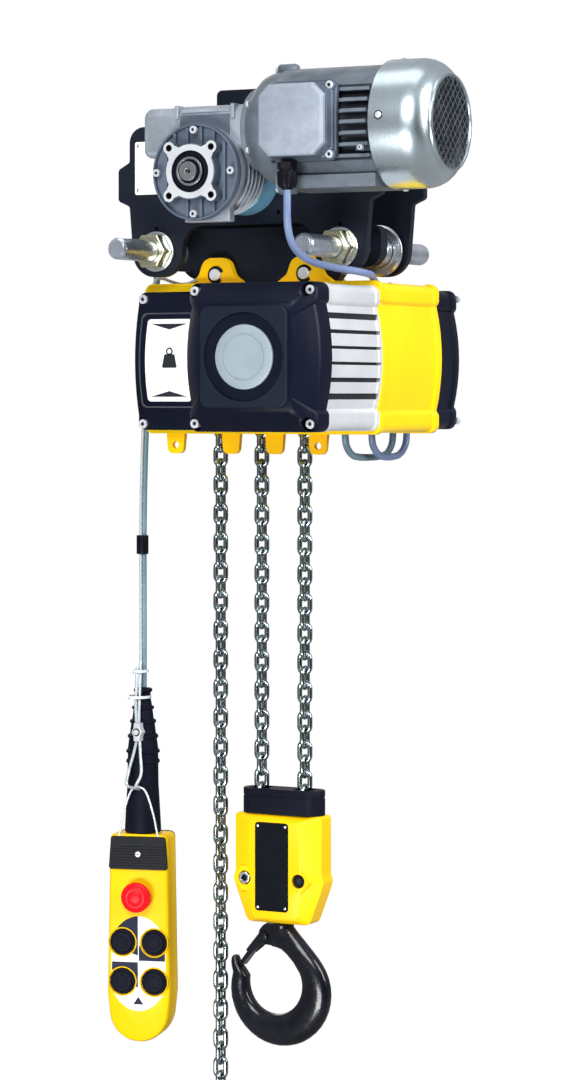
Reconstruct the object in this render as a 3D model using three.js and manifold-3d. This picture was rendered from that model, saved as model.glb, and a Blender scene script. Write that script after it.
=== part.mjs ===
// Electric chain hoist with a motor-driven beam trolley, a two-fall bottom block and a pendant control.
// Millimetres. X runs along the beam, Y is depth (the drive side faces -Y), Z is up.
// The origin is the middle of the wheel contact plane, on top of the beam's lower flange.
import * as THREE from 'three';
import { mergeVertices } from 'three/addons/utils/BufferGeometryUtils.js';
import Module from 'manifold-3d';

const wasm = await Module();
wasm.setup();

// ---------- driving dimensions ----------
const GAP = 0.3;                 // clearance between pieces that touch
const PLATE_IN = 62;             // inner face of a side plate, from the beam's centre plane
const PLATE_T = 12;
const PLATE_OUT = PLATE_IN + PLATE_T;
const BAR_X = 142;               // crossbars, left and right
const BAR_Z = -66;
const BAR_R = 15;
const BAR_HALF = 188;
const WHEEL_X = 66;
const AXIS_Z = 31.5;             // wheel axles and gearbox output
const TREAD_R = 31.5;
const MODULE = 4;                // module of the wheel drive gears
const PINION_TEETH = 11;
const WHEEL_TEETH = 22;
const STAGE_1 = { module: 3, pinion: 9, gear: 35, distance: 66 };   // hoist motor to intermediate shaft
const STAGE_2 = { module: 4, pinion: 9, gear: 28, distance: 74 };   // intermediate shaft to load sheave

const GEARBOX_FACE = -226;
const WORM_Y = -168;
const WORM_Z = AXIS_Z + 57;
const MOTOR_START = 66;
const MOTOR_END = 268;
const MOTOR_R = 79;
const FAN_COVER_R = 85;
const FAN_COVER_END = 350;
const BOX_X = 166.5;             // terminal box centre
const BOX_FRONT = -274;
const BOX_BACK = -236;
const GLAND_X = 151;
const GLAND_Y = -250;

const HOIST_X = 4.5;             // hoist body centre
const HOIST_Z = -216;
const HOIST_TOP = -110;
const HOIST_BOTTOM = -320;
const HOIST_HALF = 180;          // half width at the waist
const HOIST_BULGE = 8.5;         // how far each side bulges past the waist
const FRAME_FRONT = -43;
const FRAME_BACK = 149;
const CAP_BACK = 229;
const DECK_Z = -124;
const COVER_X = 91.5;            // motor cover and hoist motor axis
const COVER_HALF = 93;
const COVER_RIM = -200;
const COVER_STEP = -235;
const PANEL_FRONT = -262;

const SHEAVE_X = COVER_X - STAGE_1.distance - STAGE_2.distance;
const SHEAVE_R = 32.6;           // pitch radius of the load sheave
const SLACK_X = SHEAVE_X - SHEAVE_R;
const LOAD_X = SHEAVE_X + SHEAVE_R;
const BLOCK_X = 17.7;
const BLOCK_SHEAVE_R = BLOCK_X - LOAD_X;
const DEAD_X = BLOCK_X + BLOCK_SHEAVE_R;
const LINK_W = 23;
const LINK_T = 7.1;
const STRAND_TOP = -300;
const BLOCK_TOP = -849;
const BLOCK_BOTTOM = -1000;
const BUFFER_TOP = -814;
const BLOCK_SHEAVE_Z = -895;
const SLACK_END = -1245;
const HOOK_Z = -1091;

const PIN_XS = [-74.7, 63.9];
const PIN_Z = -98;

const PENDANT = [-222, 28];
const PENDANT_YAW = 15 * Math.PI / 180;
const PENDANT_TOP = -893;
const PENDANT_BOTTOM = -1190;
const BUTTON_X = 23.3;
const BUTTON_ROWS = [-1047, -1103];
const ESTOP_Z = -981;
const CABLE_R = 5;
const WIRE_R = 2.2;

// ---------- geometry helpers ----------
function toSolid(geometry) {
  const bare = geometry.clone();
  bare.deleteAttribute('normal');
  bare.deleteAttribute('uv');
  const merged = mergeVertices(bare, 1e-4);
  const vertProperties = new Float32Array(merged.attributes.position.array);
  const triVerts = new Uint32Array(merged.index.array);
  return new wasm.Manifold(new wasm.Mesh({ numProp: 3, vertProperties, triVerts }));
}

function toGeometry(solid) {
  const mesh = solid.getMesh();
  const geometry = new THREE.BufferGeometry();
  geometry.setAttribute('position', new THREE.BufferAttribute(new Float32Array(mesh.vertProperties), 3));
  geometry.setIndex(new THREE.BufferAttribute(new Uint32Array(mesh.triVerts), 1));
  return geometry;
}

function join(...geometries) {
  return toGeometry(geometries.map(toSolid).reduce((whole, piece) => whole.add(piece)));
}

function cut(base, ...tools) {
  return toGeometry(tools.map(toSolid).reduce((rest, tool) => rest.subtract(tool), toSolid(base)));
}

function common(a, b) {
  return toGeometry(toSolid(a).intersect(toSolid(b)));
}

// A box from its lowest corner to its highest.
function box(x0, x1, y0, y1, z0, z1) {
  return new THREE.BoxGeometry(x1 - x0, y1 - y0, z1 - z0)
    .translate((x0 + x1) / 2, (y0 + y1) / 2, (z0 + z1) / 2);
}

function rodX(r, x0, x1, y, z, sides = 18) {
  return new THREE.CylinderGeometry(r, r, x1 - x0, sides).rotateZ(-Math.PI / 2).translate((x0 + x1) / 2,
    y, z);
}

function rodY(r, y0, y1, x, z, sides = 18) {
  return new THREE.CylinderGeometry(r, r, y1 - y0, sides).translate(x, (y0 + y1) / 2, z);
}

function rodZ(r, z0, z1, x, y, sides = 18) {
  return new THREE.CylinderGeometry(r, r, z1 - z0, sides).rotateX(Math.PI / 2).translate(x, y,
    (z0 + z1) / 2);
}

// Revolved profiles: [radius, distance along the axis].
function lathe(profile, sides = 24) {
  return new THREE.LatheGeometry(profile.map(([r, a]) => new THREE.Vector2(r, a)), sides);
}

function latheX(profile, y, z, sides) {
  return lathe(profile, sides).rotateZ(-Math.PI / 2).translate(0, y, z);
}

function latheY(profile, x, z, sides) {
  return lathe(profile, sides).translate(x, 0, z);
}

function latheZ(profile, x, y, sides) {
  return lathe(profile, sides).rotateX(Math.PI / 2).translate(x, y, 0);
}

// Rounds the corners of a closed outline given as [u, v, radius].
function rounded(corners, steps = 3) {
  const points = [];
  corners.forEach(([u, v, radius = 0], i) => {
    const before = corners[(i + corners.length - 1) % corners.length];
    const after = corners[(i + 1) % corners.length];
    const here = new THREE.Vector2(u, v);
    if (radius === 0) {
      points.push(here);
      return;
    }
    const a = new THREE.Vector2(before[0] - u, before[1] - v).normalize();
    const b = new THREE.Vector2(after[0] - u, after[1] - v).normalize();
    const half = Math.acos(THREE.MathUtils.clamp(a.dot(b), -1, 1)) / 2;
    const centre = a.clone().add(b).normalize().multiplyScalar(radius / Math.sin(half)).add(here);
    const start = a.multiplyScalar(radius / Math.tan(half)).add(here).sub(centre);
    const end = b.multiplyScalar(radius / Math.tan(half)).add(here).sub(centre);
    const turn = Math.atan2(start.cross(end), start.dot(end));
    for (let k = 0; k <= steps; k += 1) {
      points.push(start.clone().rotateAround(new THREE.Vector2(), turn * k / steps).add(centre));
    }
  });
  return points;
}

// Extrudes an X-Z outline along Y.
function prismY(points, y0, y1) {
  const geometry = new THREE.ExtrudeGeometry(new THREE.Shape(points),
    { depth: y1 - y0, bevelEnabled: false });
  return geometry.rotateX(Math.PI / 2).translate(0, y1, 0);
}

// Extrudes an X-Y outline along Z.
function prismZ(points, z0, z1) {
  const geometry = new THREE.ExtrudeGeometry(new THREE.Shape(points),
    { depth: z1 - z0, bevelEnabled: false });
  return geometry.translate(0, 0, z0);
}

// A solid skin between two X-Z outlines with the same number of points, at two depths.
function loftY(frontOutline, backOutline, y0, y1) {
  const clockwise = THREE.ShapeUtils.isClockWise(frontOutline);
  const front = clockwise ? [...frontOutline].reverse() : frontOutline;
  const back = clockwise ? [...backOutline].reverse() : backOutline;
  const n = front.length;
  const positions = [];
  front.forEach((p) => positions.push(p.x, y0, p.y));
  back.forEach((p) => positions.push(p.x, y1, p.y));
  const triangles = [];
  THREE.ShapeUtils.triangulateShape(front, []).forEach(([a, b, c]) => {
    triangles.push(a, b, c);
    triangles.push(n + a, n + c, n + b);
  });
  for (let i = 0; i < n; i += 1) {
    const j = (i + 1) % n;
    triangles.push(i, n + i, n + j);
    triangles.push(i, n + j, j);
  }
  const geometry = new THREE.BufferGeometry();
  geometry.setAttribute('position', new THREE.Float32BufferAttribute(positions, 3));
  geometry.setIndex(triangles);
  return geometry;
}

// Spur gear outline around a centre; a tooth is a trapezoid about the pitch circle.
function gearOutline(teeth, x, z, turn = 0, module = MODULE) {
  const backlash = 0.2;
  const pitch = module * teeth / 2;
  const tip = pitch + module * 0.85;
  const root = pitch - module * 1.15;
  const step = 2 * Math.PI / teeth;
  const corners = [[root, -0.34], [tip, -0.15 + backlash / 2], [tip, 0.15 - backlash / 2], [root, 0.34]];
  const points = [];
  for (let i = 0; i < teeth; i += 1) {
    corners.forEach(([r, at]) => {
      const angle = turn + step * (i + at * (1 - backlash));
      points.push(new THREE.Vector2(x + r * Math.cos(angle), z + r * Math.sin(angle)));
    });
  }
  return points;
}

// A round tube along a smooth curve through the given points.
function tube(points, radius, sides, steps) {
  const path = new THREE.CatmullRomCurve3(points.map((p) => new THREE.Vector3(...p)), false, 'centripetal');
  const ring = [];
  for (let i = 0; i < sides; i += 1) {
    const angle = 2 * Math.PI * i / sides;
    ring.push(new THREE.Vector2(radius * Math.cos(angle), radius * Math.sin(angle)));
  }
  return new THREE.ExtrudeGeometry(new THREE.Shape(ring),
    { steps, bevelEnabled: false, extrudePath: path });
}

// ---------- materials ----------
const paint = (color, roughness, metalness) => ({ color, roughness, metalness });
const BLACK_STEEL = paint(0x1b1f27, 0.45, 0.3);
const ZINC = paint(0xc4ccd2, 0.28, 0.9);
const CAST_ALU = paint(0x9aa3ab, 0.5, 0.7);
const BRIGHT_ALU = paint(0xd9dde0, 0.35, 0.8);
const YELLOW = paint(0xf7d900, 0.35, 0.0);
const AMBER = paint(0xf2b400, 0.35, 0.0);
const BLACK_PLASTIC = paint(0x15171d, 0.5, 0.0);
const STEEL = paint(0x8f969c, 0.35, 0.9);
const FORGED = paint(0x14171b, 0.35, 0.3);
const RUBBER = paint(0x111216, 0.7, 0.0);
const RED = paint(0xd8121a, 0.3, 0.0);
const GREY_CABLE = paint(0x6f8fa6, 0.5, 0.0);
const BRONZE = paint(0xa97b3c, 0.4, 0.8);

const hoist = new THREE.Group();

function add(name, geometry, look, parent = hoist) {
  const mesh = new THREE.Mesh(geometry, new THREE.MeshStandardMaterial(look));
  mesh.name = name;
  parent.add(mesh);
}

// ---------- trolley ----------
function sidePlateOutline() {
  const lobe = BAR_Z - 35.5;
  return rounded([
    [-187, 109, 22], [187, 109, 22], [187, 60, 0], [205, 50, 5], [205, 6, 5], [187, -2, 0],
    [179, lobe, 35], [105, lobe, 35], [99, -31, 28], [-99, -31, 28], [-105, lobe, 35], [-179, lobe, 35],
    [-187, -2, 0], [-205, 6, 5], [-205, 50, 5], [-187, 60, 0],
  ], 4);
}

function sidePlate(y0, y1, stubEnd) {
  const plate = prismY(sidePlateOutline(), y0, y1);
  const stubs = [-WHEEL_X, WHEEL_X].map((x) => rodY(10, Math.min(stubEnd, y0 + 1),
    Math.max(stubEnd, y1 - 1), x, AXIS_Z));
  const barHoles = [-BAR_X, BAR_X].map((x) => rodY(BAR_R + GAP, y0 - 1, y1 + 1, x, BAR_Z));
  return cut(join(plate, ...stubs), ...barHoles);
}

function sidePlates() {
  const front = sidePlate(-PLATE_OUT, -PLATE_IN, -20);
  add('side_plate_front', cut(front, rodY(25, -PLATE_OUT - 1, -PLATE_IN + 1, 0, AXIS_Z)), BLACK_STEEL);
  const rear = sidePlate(PLATE_IN, PLATE_OUT, 20);
  const weight = prismY(rounded([[-128, 106, 6], [-128, 165, 6], [-120, 171, 4], [120, 171, 6],
    [120, 106, 6]]),
    PLATE_IN + 2, PLATE_OUT + 34);
  add('side_plate_rear', join(rear, weight), BLACK_STEEL);
}

function hexNut(x, y0, y1, washerY0, washerY1) {
  const nut = new THREE.CylinderGeometry(26, 26, y1 - y0, 6).rotateY(Math.PI / 6).translate(x,
    (y0 + y1) / 2, BAR_Z);
  const washer = rodY(27.5, washerY0, washerY1, x, BAR_Z, 18);
  return cut(join(nut, washer), rodY(BAR_R + GAP, Math.min(y0, washerY0) - 1, Math.max(y1, washerY1) + 1,
    x, BAR_Z));
}

function crossbars() {
  [['left', -BAR_X], ['right', BAR_X]].forEach(([side, x]) => {
    const bar = latheY([[0, -BAR_HALF], [BAR_R - 2, -BAR_HALF], [BAR_R, -BAR_HALF + 2],
      [BAR_R, BAR_HALF - 2],
      [BAR_R - 2, BAR_HALF], [0, BAR_HALF]], x, BAR_Z, 18);
    add(`crossbar_${side}`, bar, ZINC);
    const face = PLATE_OUT + GAP;
    add(`nut_front_${side}`, hexNut(x, -face - 24, -face - 4.5, -face - 5, -face), ZINC);
    add(`nut_rear_${side}`, hexNut(x, face + 4.5, face + 24, face, face + 5), ZINC);
  });
}

function suspensionPlate() {
  const outline = rounded([
    [-174, -36, 14], [174, -36, 14], [174, -90, 26], [118, -92, 12], [100, -115, 10],
    [-106, -115, 10], [-122, -92, 12], [-174, -90, 26],
  ]);
  const holes = [-BAR_X, BAR_X].map((x) => rodY(BAR_R + GAP, -12, 12, x, BAR_Z));
  const pinHoles = PIN_XS.map((x) => rodY(8.6, -12, 12, x, PIN_Z));
  add('suspension_plate', cut(prismY(outline, -10, 10), ...holes, ...pinHoles), BLACK_STEEL);
  PIN_XS.forEach((x, i) => {
    const collar = 26 + GAP;
    const profile = [[0, -32], [8.3, -32], [8.3, -30], [11.5, -30], [11.5, -collar], [8.3, -collar],
      [8.3, collar],
      [11.5, collar], [11.5, 30], [8.3, 30], [8.3, 32], [0, 32]];
    add(`suspension_pin_${i ? 'right' : 'left'}`, latheY(profile, x, PIN_Z, 12), ZINC);
  });
}

// A flanged wheel; side is -1 at the front (drive) plate and +1 at the rear plate.
function wheel(x, side, teeth, turn) {
  const inner = 21;
  const profile = [[10.4, inner], [TREAD_R - 1.5, inner], [TREAD_R, inner + 2], [TREAD_R, 44], [38, 46],
    [38, 60], [10.4, 60],
    [10.4, inner]];
  let body = latheY(side < 0 ? profile.map(([r, a]) => [r, -a]).reverse() : profile, x, AXIS_Z, 24);
  if (teeth) {
    const ring = cut(prismY(gearOutline(teeth, x, AXIS_Z, turn), -60, -50),
      rodY(36, -61, -49, x, AXIS_Z, 20));
    body = join(body, ring);
  }
  return body;
}

function wheels() {
  add('wheel_front_left', wheel(-WHEEL_X, -1, WHEEL_TEETH, 0), STEEL);
  add('wheel_front_right', wheel(WHEEL_X, -1, WHEEL_TEETH, Math.PI / WHEEL_TEETH), STEEL);
  add('wheel_rear_left', wheel(-WHEEL_X, 1), STEEL);
  add('wheel_rear_right', wheel(WHEEL_X, 1), STEEL);
}

// ---------- travel drive ----------
function gearbox() {
  const wormHousing = box(-92, 62, WORM_Y - 34, WORM_Y + 34, WORM_Z - 34, WORM_Z + 33);
  const drum = latheY([[0, -214], [60, -214], [60, -192], [52, -120], [46, -112], [46, -102], [0, -102]],
    0, AXIS_Z, 30);
  const flange = rodY(49, -104, -PLATE_OUT - GAP, 0, AXIS_Z, 28);
  const foot = box(-26, 42, -206, -140, AXIS_Z - 66, AXIS_Z - 40);
  const shell = join(wormHousing, drum, flange, foot);
  const wheelSpace = rodY(50, -215, -152, 0, AXIS_Z, 28);
  const bearingSpace = rodY(25, -153, -90, 0, AXIS_Z);
  const shaftHole = rodY(17, -91, -PLATE_OUT, 0, AXIS_Z);
  const wormSpace = rodX(14, -80, 63, WORM_Y, WORM_Z, 20);
  add('gearbox_housing', cut(shell, wheelSpace, bearingSpace, shaftHole, wormSpace), CAST_ALU);

  const ears = [];
  for (const dx of [-31, 31]) {
    for (const dz of [-31, 31]) {
      ears.push(rodY(8, -239, GEARBOX_FACE + 1, dx, AXIS_Z + dz, 8));
    }
  }
  const cover = join(rodY(65, GEARBOX_FACE, -214 - GAP, 0, AXIS_Z, 36),
    rodY(38, -239, GEARBOX_FACE + 1, 0, AXIS_Z, 28), ...ears);
  add('gearbox_cover', cut(cover, rodY(20, -240, -213, 0, AXIS_Z)), CAST_ALU);

  const wormTeeth = cut(prismY(gearOutline(20, 0, AXIS_Z, 0, 4.2), -176, -160),
    rodY(13.6, -180, -155, 0, AXIS_Z));
  add('worm_wheel', wormTeeth, BRONZE);
  const shaft = join(rodY(13.3, -246, -48, 0, AXIS_Z, 28),
    prismY(gearOutline(PINION_TEETH, 0, AXIS_Z, 0), -60, -50));
  add('output_shaft', shaft, STEEL);
}

function wormShaft() {
  const profile = [[0, -72], [7, -72], [7, -34], [10.8, -32], [10.8, 32], [7, 34], [7, MOTOR_START - 2],
    [0, MOTOR_START - 2]];
  add('worm_shaft', latheX(profile, WORM_Y, WORM_Z, 20), STEEL);
}

function travelMotor() {
  const core = latheX([[0, MOTOR_START], [55, MOTOR_START], [72, 92], [74, 106], [74, 118], [66, 120],
    [66, MOTOR_END - 6], [0, MOTOR_END - 6]], WORM_Y, WORM_Z, 28);
  const barrel = rodX(MOTOR_R, 112, MOTOR_END - 6, WORM_Y, WORM_Z, 28);
  const bands = [box(112, MOTOR_END, WORM_Y - 90, WORM_Y + 90, WORM_Z + 50, WORM_Z + 90),
    box(112, MOTOR_END, WORM_Y - 90, WORM_Y + 90, WORM_Z - 90, WORM_Z - 52)];
  const fins = [];
  for (let i = -2; i <= 2; i += 1) {
    fins.push(box(112, MOTOR_END - 6, WORM_Y - 90, WORM_Y + 90, WORM_Z + i * 17 - 2, WORM_Z + i * 17 + 2));
  }
  const ribs = common(barrel, join(...bands, ...fins));
  const pad = box(116, 219, BOX_BACK + GAP, WORM_Y - 60, WORM_Z - 52, WORM_Z + 56);
  const bore = rodX(42, 100, 222, WORM_Y, WORM_Z, 24);
  const shaftWay = rodX(10, MOTOR_START - 1, MOTOR_END, WORM_Y, WORM_Z, 20);
  const mouth = rodX(42, 221, MOTOR_END, WORM_Y, WORM_Z, 24);
  const flat = box(110, 223, WORM_Y - 90, BOX_BACK + GAP, WORM_Z - 60, WORM_Z + 60);
  add('travel_motor_housing', cut(join(core, ribs, pad), bore, shaftWay, mouth, flat), CAST_ALU);
  const rotor = latheX([[0, MOTOR_START - 2 + GAP], [8, MOTOR_START - 2 + GAP], [8, 120], [40, 121],
    [40, 215], [8, 216],
    [8, 318], [0, 318]], WORM_Y, WORM_Z, 24);
  add('travel_rotor', rotor, STEEL);
}

function terminalBox() {
  const zMid = WORM_Z + 3;
  const outline = (half, corner) => rounded([
    [BOX_X - half + corner, zMid - half], [BOX_X + half - corner, zMid - half],
      [BOX_X + half, zMid - half + corner],
    [BOX_X + half, zMid + half - corner], [BOX_X + half - corner, zMid + half],
      [BOX_X - half + corner, zMid + half],
    [BOX_X - half, zMid + half - corner], [BOX_X - half, zMid - half + corner]]);
  const shell = join(prismY(outline(53, 6), BOX_BACK - 8, BOX_BACK), loftY(outline(48, 16),
    outline(50, 8), -263, BOX_BACK - 7));
  const hollow = box(BOX_X - 40, BOX_X + 40, -264, BOX_BACK - 6, zMid - 40, zMid + 40);
  const glandHole = rodZ(8, zMid - 60, zMid - 30, GLAND_X, GLAND_Y, 16);
  add('terminal_box', cut(shell, hollow, glandHole), CAST_ALU);
  add('terminal_lid', prismY(outline(47, 15), BOX_FRONT, -263 - GAP), BRIGHT_ALU);
  const nutTop = zMid - 53 - GAP;
  const gland = latheZ([[0, 2], [8, 2], [12, 8], [12, 20], [13.5, 21], [13.5, nutTop], [7.5, nutTop],
    [7.5, nutTop + 12],
    [0, nutTop + 12]], GLAND_X, GLAND_Y, 12);
  add('travel_gland', gland, BLACK_PLASTIC);
}

function fanEnd() {
  const hub = rodX(14, 290, 312, WORM_Y, WORM_Z, 20);
  const disc = rodX(62, 290, 293, WORM_Y, WORM_Z, 24);
  const blades = [];
  for (let i = 0; i < 6; i += 1) {
    const blade = new THREE.BoxGeometry(18, 3, 52).translate(302, 0, 36).rotateX(2 * Math.PI * i / 6);
    blades.push(blade.translate(0, WORM_Y, WORM_Z));
  }
  add('cooling_fan', cut(join(hub, disc, ...blades), rodX(8.3, 280, 330, WORM_Y, WORM_Z, 24)),
    BLACK_PLASTIC);

  const R = FAN_COVER_R;
  const cover = latheX([[R - 2.5, MOTOR_END], [R, MOTOR_END], [R, 318], [R - 4, 332], [R - 13, 344],
    [63, FAN_COVER_END],
    [0, FAN_COVER_END], [0, FAN_COVER_END - 3], [62, FAN_COVER_END - 3], [R - 15, 341], [R - 6.5, 331],
      [R - 2.5, 317],
    [R - 2.5, MOTOR_END]], WORM_Y, WORM_Z, 28);
  const holes = [];
  for (let ring = 1; ring <= 2; ring += 1) {
    for (let i = 0; i < ring * 6; i += 1) {
      const angle = 2 * Math.PI * (i + 0.5) / (ring * 6);
      holes.push(rodX(10, 340, 355, WORM_Y + ring * 24 * Math.cos(angle),
        WORM_Z + ring * 24 * Math.sin(angle), 4));
    }
  }
  add('fan_cover', cut(cover, ...holes), ZINC);
}

// ---------- hoist body ----------
// Outline of the hoist's cross-section: screw lobes at the corners, sides that bulge between two waists.
function bodyOutline(centre, half, top, bottom, bulge = HOIST_BULGE) {
  const side = [];
  const waist = 74 * (top - bottom) / 210;
  const mid = (top + bottom) / 2;
  for (let i = 0; i <= 6; i += 1) {
    const t = i / 3 - 1;
    side.push([half + bulge * (1 - t * t), mid - waist * t]);
  }
  const rightSide = [[half + 4, top, 12], [half + 4, top - 26], ...side, [half + 4, bottom + 26],
    [half + 4, bottom, 12]];
  const right = rightSide.map(([x, z, r]) => [centre + x, z, r]);
  const left = rightSide.map(([x, z, r]) => [centre - x, z, r]).reverse();
  return rounded([...right, ...left], 3);
}

function hoistFrame() {
  const shell = prismY(bodyOutline(HOIST_X, HOIST_HALF, HOIST_TOP, HOIST_BOTTOM), FRAME_FRONT, FRAME_BACK);
  const lugs = [];
  const pinHoles = [];
  PIN_XS.forEach((x) => {
    const ear = rounded([[x - 44, DECK_Z - 2], [x + 44, DECK_Z - 2], [x + 19, PIN_Z + 24, 20],
      [x - 19, PIN_Z + 24, 20]], 4);
    lugs.push(prismY(ear, -26, -14), prismY(ear, 14, 26));
    pinHoles.push(rodY(8.6, -27, 27, x, PIN_Z));
  });
  const feet = [-135, -47, 21, 88].map((x) => prismY(rounded([[x - 15, HOIST_BOTTOM + 3],
    [x - 12, -348, 8], [x + 12, -348, 8],
    [x + 15, HOIST_BOTTOM + 3]]), -34, -26));
  const footHoles = [-135, 88].map((x) => rodY(5, -35, -25, x, -336, 10));
  const deck = box(HOIST_X - 150, HOIST_X + 168, FRAME_FRONT + 10, FRAME_BACK + 1, DECK_Z, HOIST_TOP + 1);
  const cavityOutline = rounded([[HOIST_X - 166, DECK_Z - 8, 12], [HOIST_X + 166, DECK_Z - 8, 12],
    [HOIST_X + 166, HOIST_BOTTOM + 9, 12], [HOIST_X - 166, HOIST_BOTTOM + 9, 12]]);
  const frontCavity = prismY(cavityOutline, FRAME_FRONT - 1, 24);
  const rearCavity = prismY(cavityOutline, 32, FRAME_BACK + 1);
  const chainSlots = [SLACK_X, LOAD_X, DEAD_X].map((x) => box(x - 14, x + 14, -14, 14, HOIST_BOTTOM - 1,
    HOIST_BOTTOM + 12));
  const glandSlot = box(52, 118, 60, 148, HOIST_BOTTOM - 1, HOIST_BOTTOM + 12);
  const shaftHoles = [[COVER_X, 9], [25.5, 7], [SHEAVE_X, 13]].map(([x, r]) => rodY(r, 20, 36, x, HOIST_Z));
  const body = cut(shell, deck, frontCavity, rearCavity, ...chainSlots, glandSlot, ...shaftHoles);
  add('hoist_frame', cut(join(body, ...lugs, ...feet), ...pinHoles, ...footHoles), AMBER);
}

function labelCover() {
  const face = FRAME_FRONT - GAP;
  const left = HOIST_X - HOIST_HALF;
  const side = [];
  for (let i = 0; i <= 6; i += 1) {
    const t = i / 3 - 1;
    side.push([left + 3 - HOIST_BULGE * (1 - t * t), HOIST_Z + 70 * t]);
  }
  const outline = rounded([[-13, -315, 4], [left - 3, -315, 12], [left - 3, -292],
    ...side, [left - 3, -140],
    [left - 3, -122, 12], [-13, -122, 4]], 3);
  const window = box(-172, -20, face - 24, face - 20, -279, -150);
  add('label_cover', cut(prismY(outline, face - 22, face), window), BLACK_PLASTIC);
}

function hoistMotor() {
  const outline = bodyOutline(COVER_X, COVER_HALF, -117, -315);
  const slots = [];
  [[-161, 8], [-182, 5], [-203, 4], [-224, 4], [-246, 6], [-268, 8]].forEach(([z, height]) => {
    for (const side of [-1, 1]) {
      const outer = COVER_X + side * (COVER_HALF + 20);
      const inner = COVER_X + side * (COVER_HALF - 16);
      slots.push(box(Math.min(outer, inner), Math.max(outer, inner),
        COVER_RIM - 1, FRAME_FRONT + 1, z - height / 2, z + height / 2));
    }
  });
  const bore = rodY(46, COVER_RIM - 1, FRAME_FRONT + 1, COVER_X, HOIST_Z, 28);
  const body = prismY(outline, COVER_RIM + GAP, FRAME_FRONT - GAP);
  add('hoist_motor_housing', cut(body, bore, ...slots), BRIGHT_ALU);

  const rim = prismY(bodyOutline(COVER_X, COVER_HALF + 1, -119, -315), COVER_STEP, COVER_RIM);
  const shoulder = bodyOutline(COVER_X, COVER_HALF - 2, -123, -312);
  const panel = shoulder.map((p) => new THREE.Vector2(COVER_X + (p.x - COVER_X) * 0.7,
    HOIST_Z + (p.y - HOIST_Z) * 0.72));
  const dome = loftY(panel, shoulder, -257, COVER_STEP + 1.2);
  const plaque = prismY(rounded([[COVER_X - 64, -283, 12], [COVER_X + 64, -283, 12],
    [COVER_X + 64, -149, 12],
    [COVER_X - 64, -149, 12]]), PANEL_FRONT, -250);
  const recess = rodY(59, PANEL_FRONT - 1, -254, COVER_X, HOIST_Z, 32);
  const notches = [];
  for (const dx of [-1, 1]) {
    for (const dz of [-1, 1]) {
      notches.push(rodY(9.2, PANEL_FRONT - 2, COVER_STEP + 3.5, COVER_X + dx * 83, HOIST_Z + dz * 88, 12));
    }
  }
  const bearing = rodY(12, -245, COVER_RIM + 1, COVER_X, HOIST_Z, 20);
  add('badge_cover', cut(join(rim, dome, plaque), recess, bearing, ...notches), BLACK_PLASTIC);
  add('cover_badge', rodY(43, -259.5, -254 - GAP, COVER_X, HOIST_Z, 30), BRIGHT_ALU);
}

function rearCap() {
  const outer = bodyOutline(HOIST_X, HOIST_HALF - 3, -117, -315);
  const inner = outer.map((p) => new THREE.Vector2(HOIST_X + (p.x - HOIST_X) * 0.955,
    HOIST_Z + (p.y - HOIST_Z) * 0.93));
  const shell = join(prismY(outer, FRAME_BACK + GAP, CAP_BACK - 14),
    loftY(outer, inner, CAP_BACK - 14.5, CAP_BACK));
  const hollow = box(HOIST_X - 170, HOIST_X + 170, FRAME_BACK, CAP_BACK - 50, -306, -128);
  const lowHollow = box(HOIST_X - 170, HOIST_X + 170, CAP_BACK - 51, CAP_BACK - 6, -306, -150);
  const cableNotch = box(54, 116, 185, CAP_BACK + 1, -142, -110);
  add('rear_cap', cut(shell, hollow, lowHollow, cableNotch), BLACK_PLASTIC);
}

function hoistDrive() {
  const rotor = latheY([[0, -240], [9, -240], [9, -172], [44, -171], [44, -72], [8, -71], [8, -62],
    [40, -61], [40, -52],
    [8, -51], [8, 40], [0, 40]], COVER_X, HOIST_Z, 22);
  const pinion = prismY(gearOutline(STAGE_1.pinion, COVER_X, HOIST_Z, 0, STAGE_1.module), 38, 54);
  add('hoist_rotor', join(rotor, pinion), STEEL);
  const idler = COVER_X - STAGE_1.distance;
  const toothed = gearOutline(STAGE_1.gear, idler, HOIST_Z, 0, STAGE_1.module);
  const drive = gearOutline(STAGE_2.pinion, idler, HOIST_Z, Math.PI / STAGE_2.pinion, STAGE_2.module);
  add('intermediate_gear', join(prismY(toothed, 40, 52), rodY(6.6, 22, 82, idler, HOIST_Z),
    prismY(drive, 60, 76)), STEEL);
  const sheave = latheY([[0, -30], [12, -30], [12, -15], [42, -15], [42, -6], [27, -4], [27, 4], [42, 6],
    [42, 15], [12, 15],
    [12, 82], [0, 82]], SHEAVE_X, HOIST_Z, 20);
  const rim = gearOutline(STAGE_2.gear, SHEAVE_X, HOIST_Z, Math.PI / STAGE_2.gear, STAGE_2.module);
  add('load_sheave', join(sheave, prismY(rim, 60, 76)), STEEL);
}

function glandPlate() {
  const plate = box(52 + GAP, 118 - GAP, 60 + GAP, 148 - GAP, -310, -305);
  const glands = [[72, 86], [94, 127]].map(([x, y]) => rodZ(8.5, -319, -309, x, y, 12));
  const top = box(48, 122, 56, 148, -310.7, -305);
  add('gland_plate', join(common(plate, top), ...glands), BLACK_PLASTIC);
}

// ---------- chain ----------
function strand(x, z0, z1) {
  const w = LINK_W / 2;
  const t = LINK_T / 2;
  const plus = [[w, -t], [w, t], [t, t], [t, w], [-t, w], [-t, t], [-w, t], [-w, -t], [-t, -t], [-t, -w],
    [t, -w], [t, -t]];
  return prismZ(plus.map(([a, b]) => new THREE.Vector2(x + a, b)), z0, z1);
}

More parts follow.
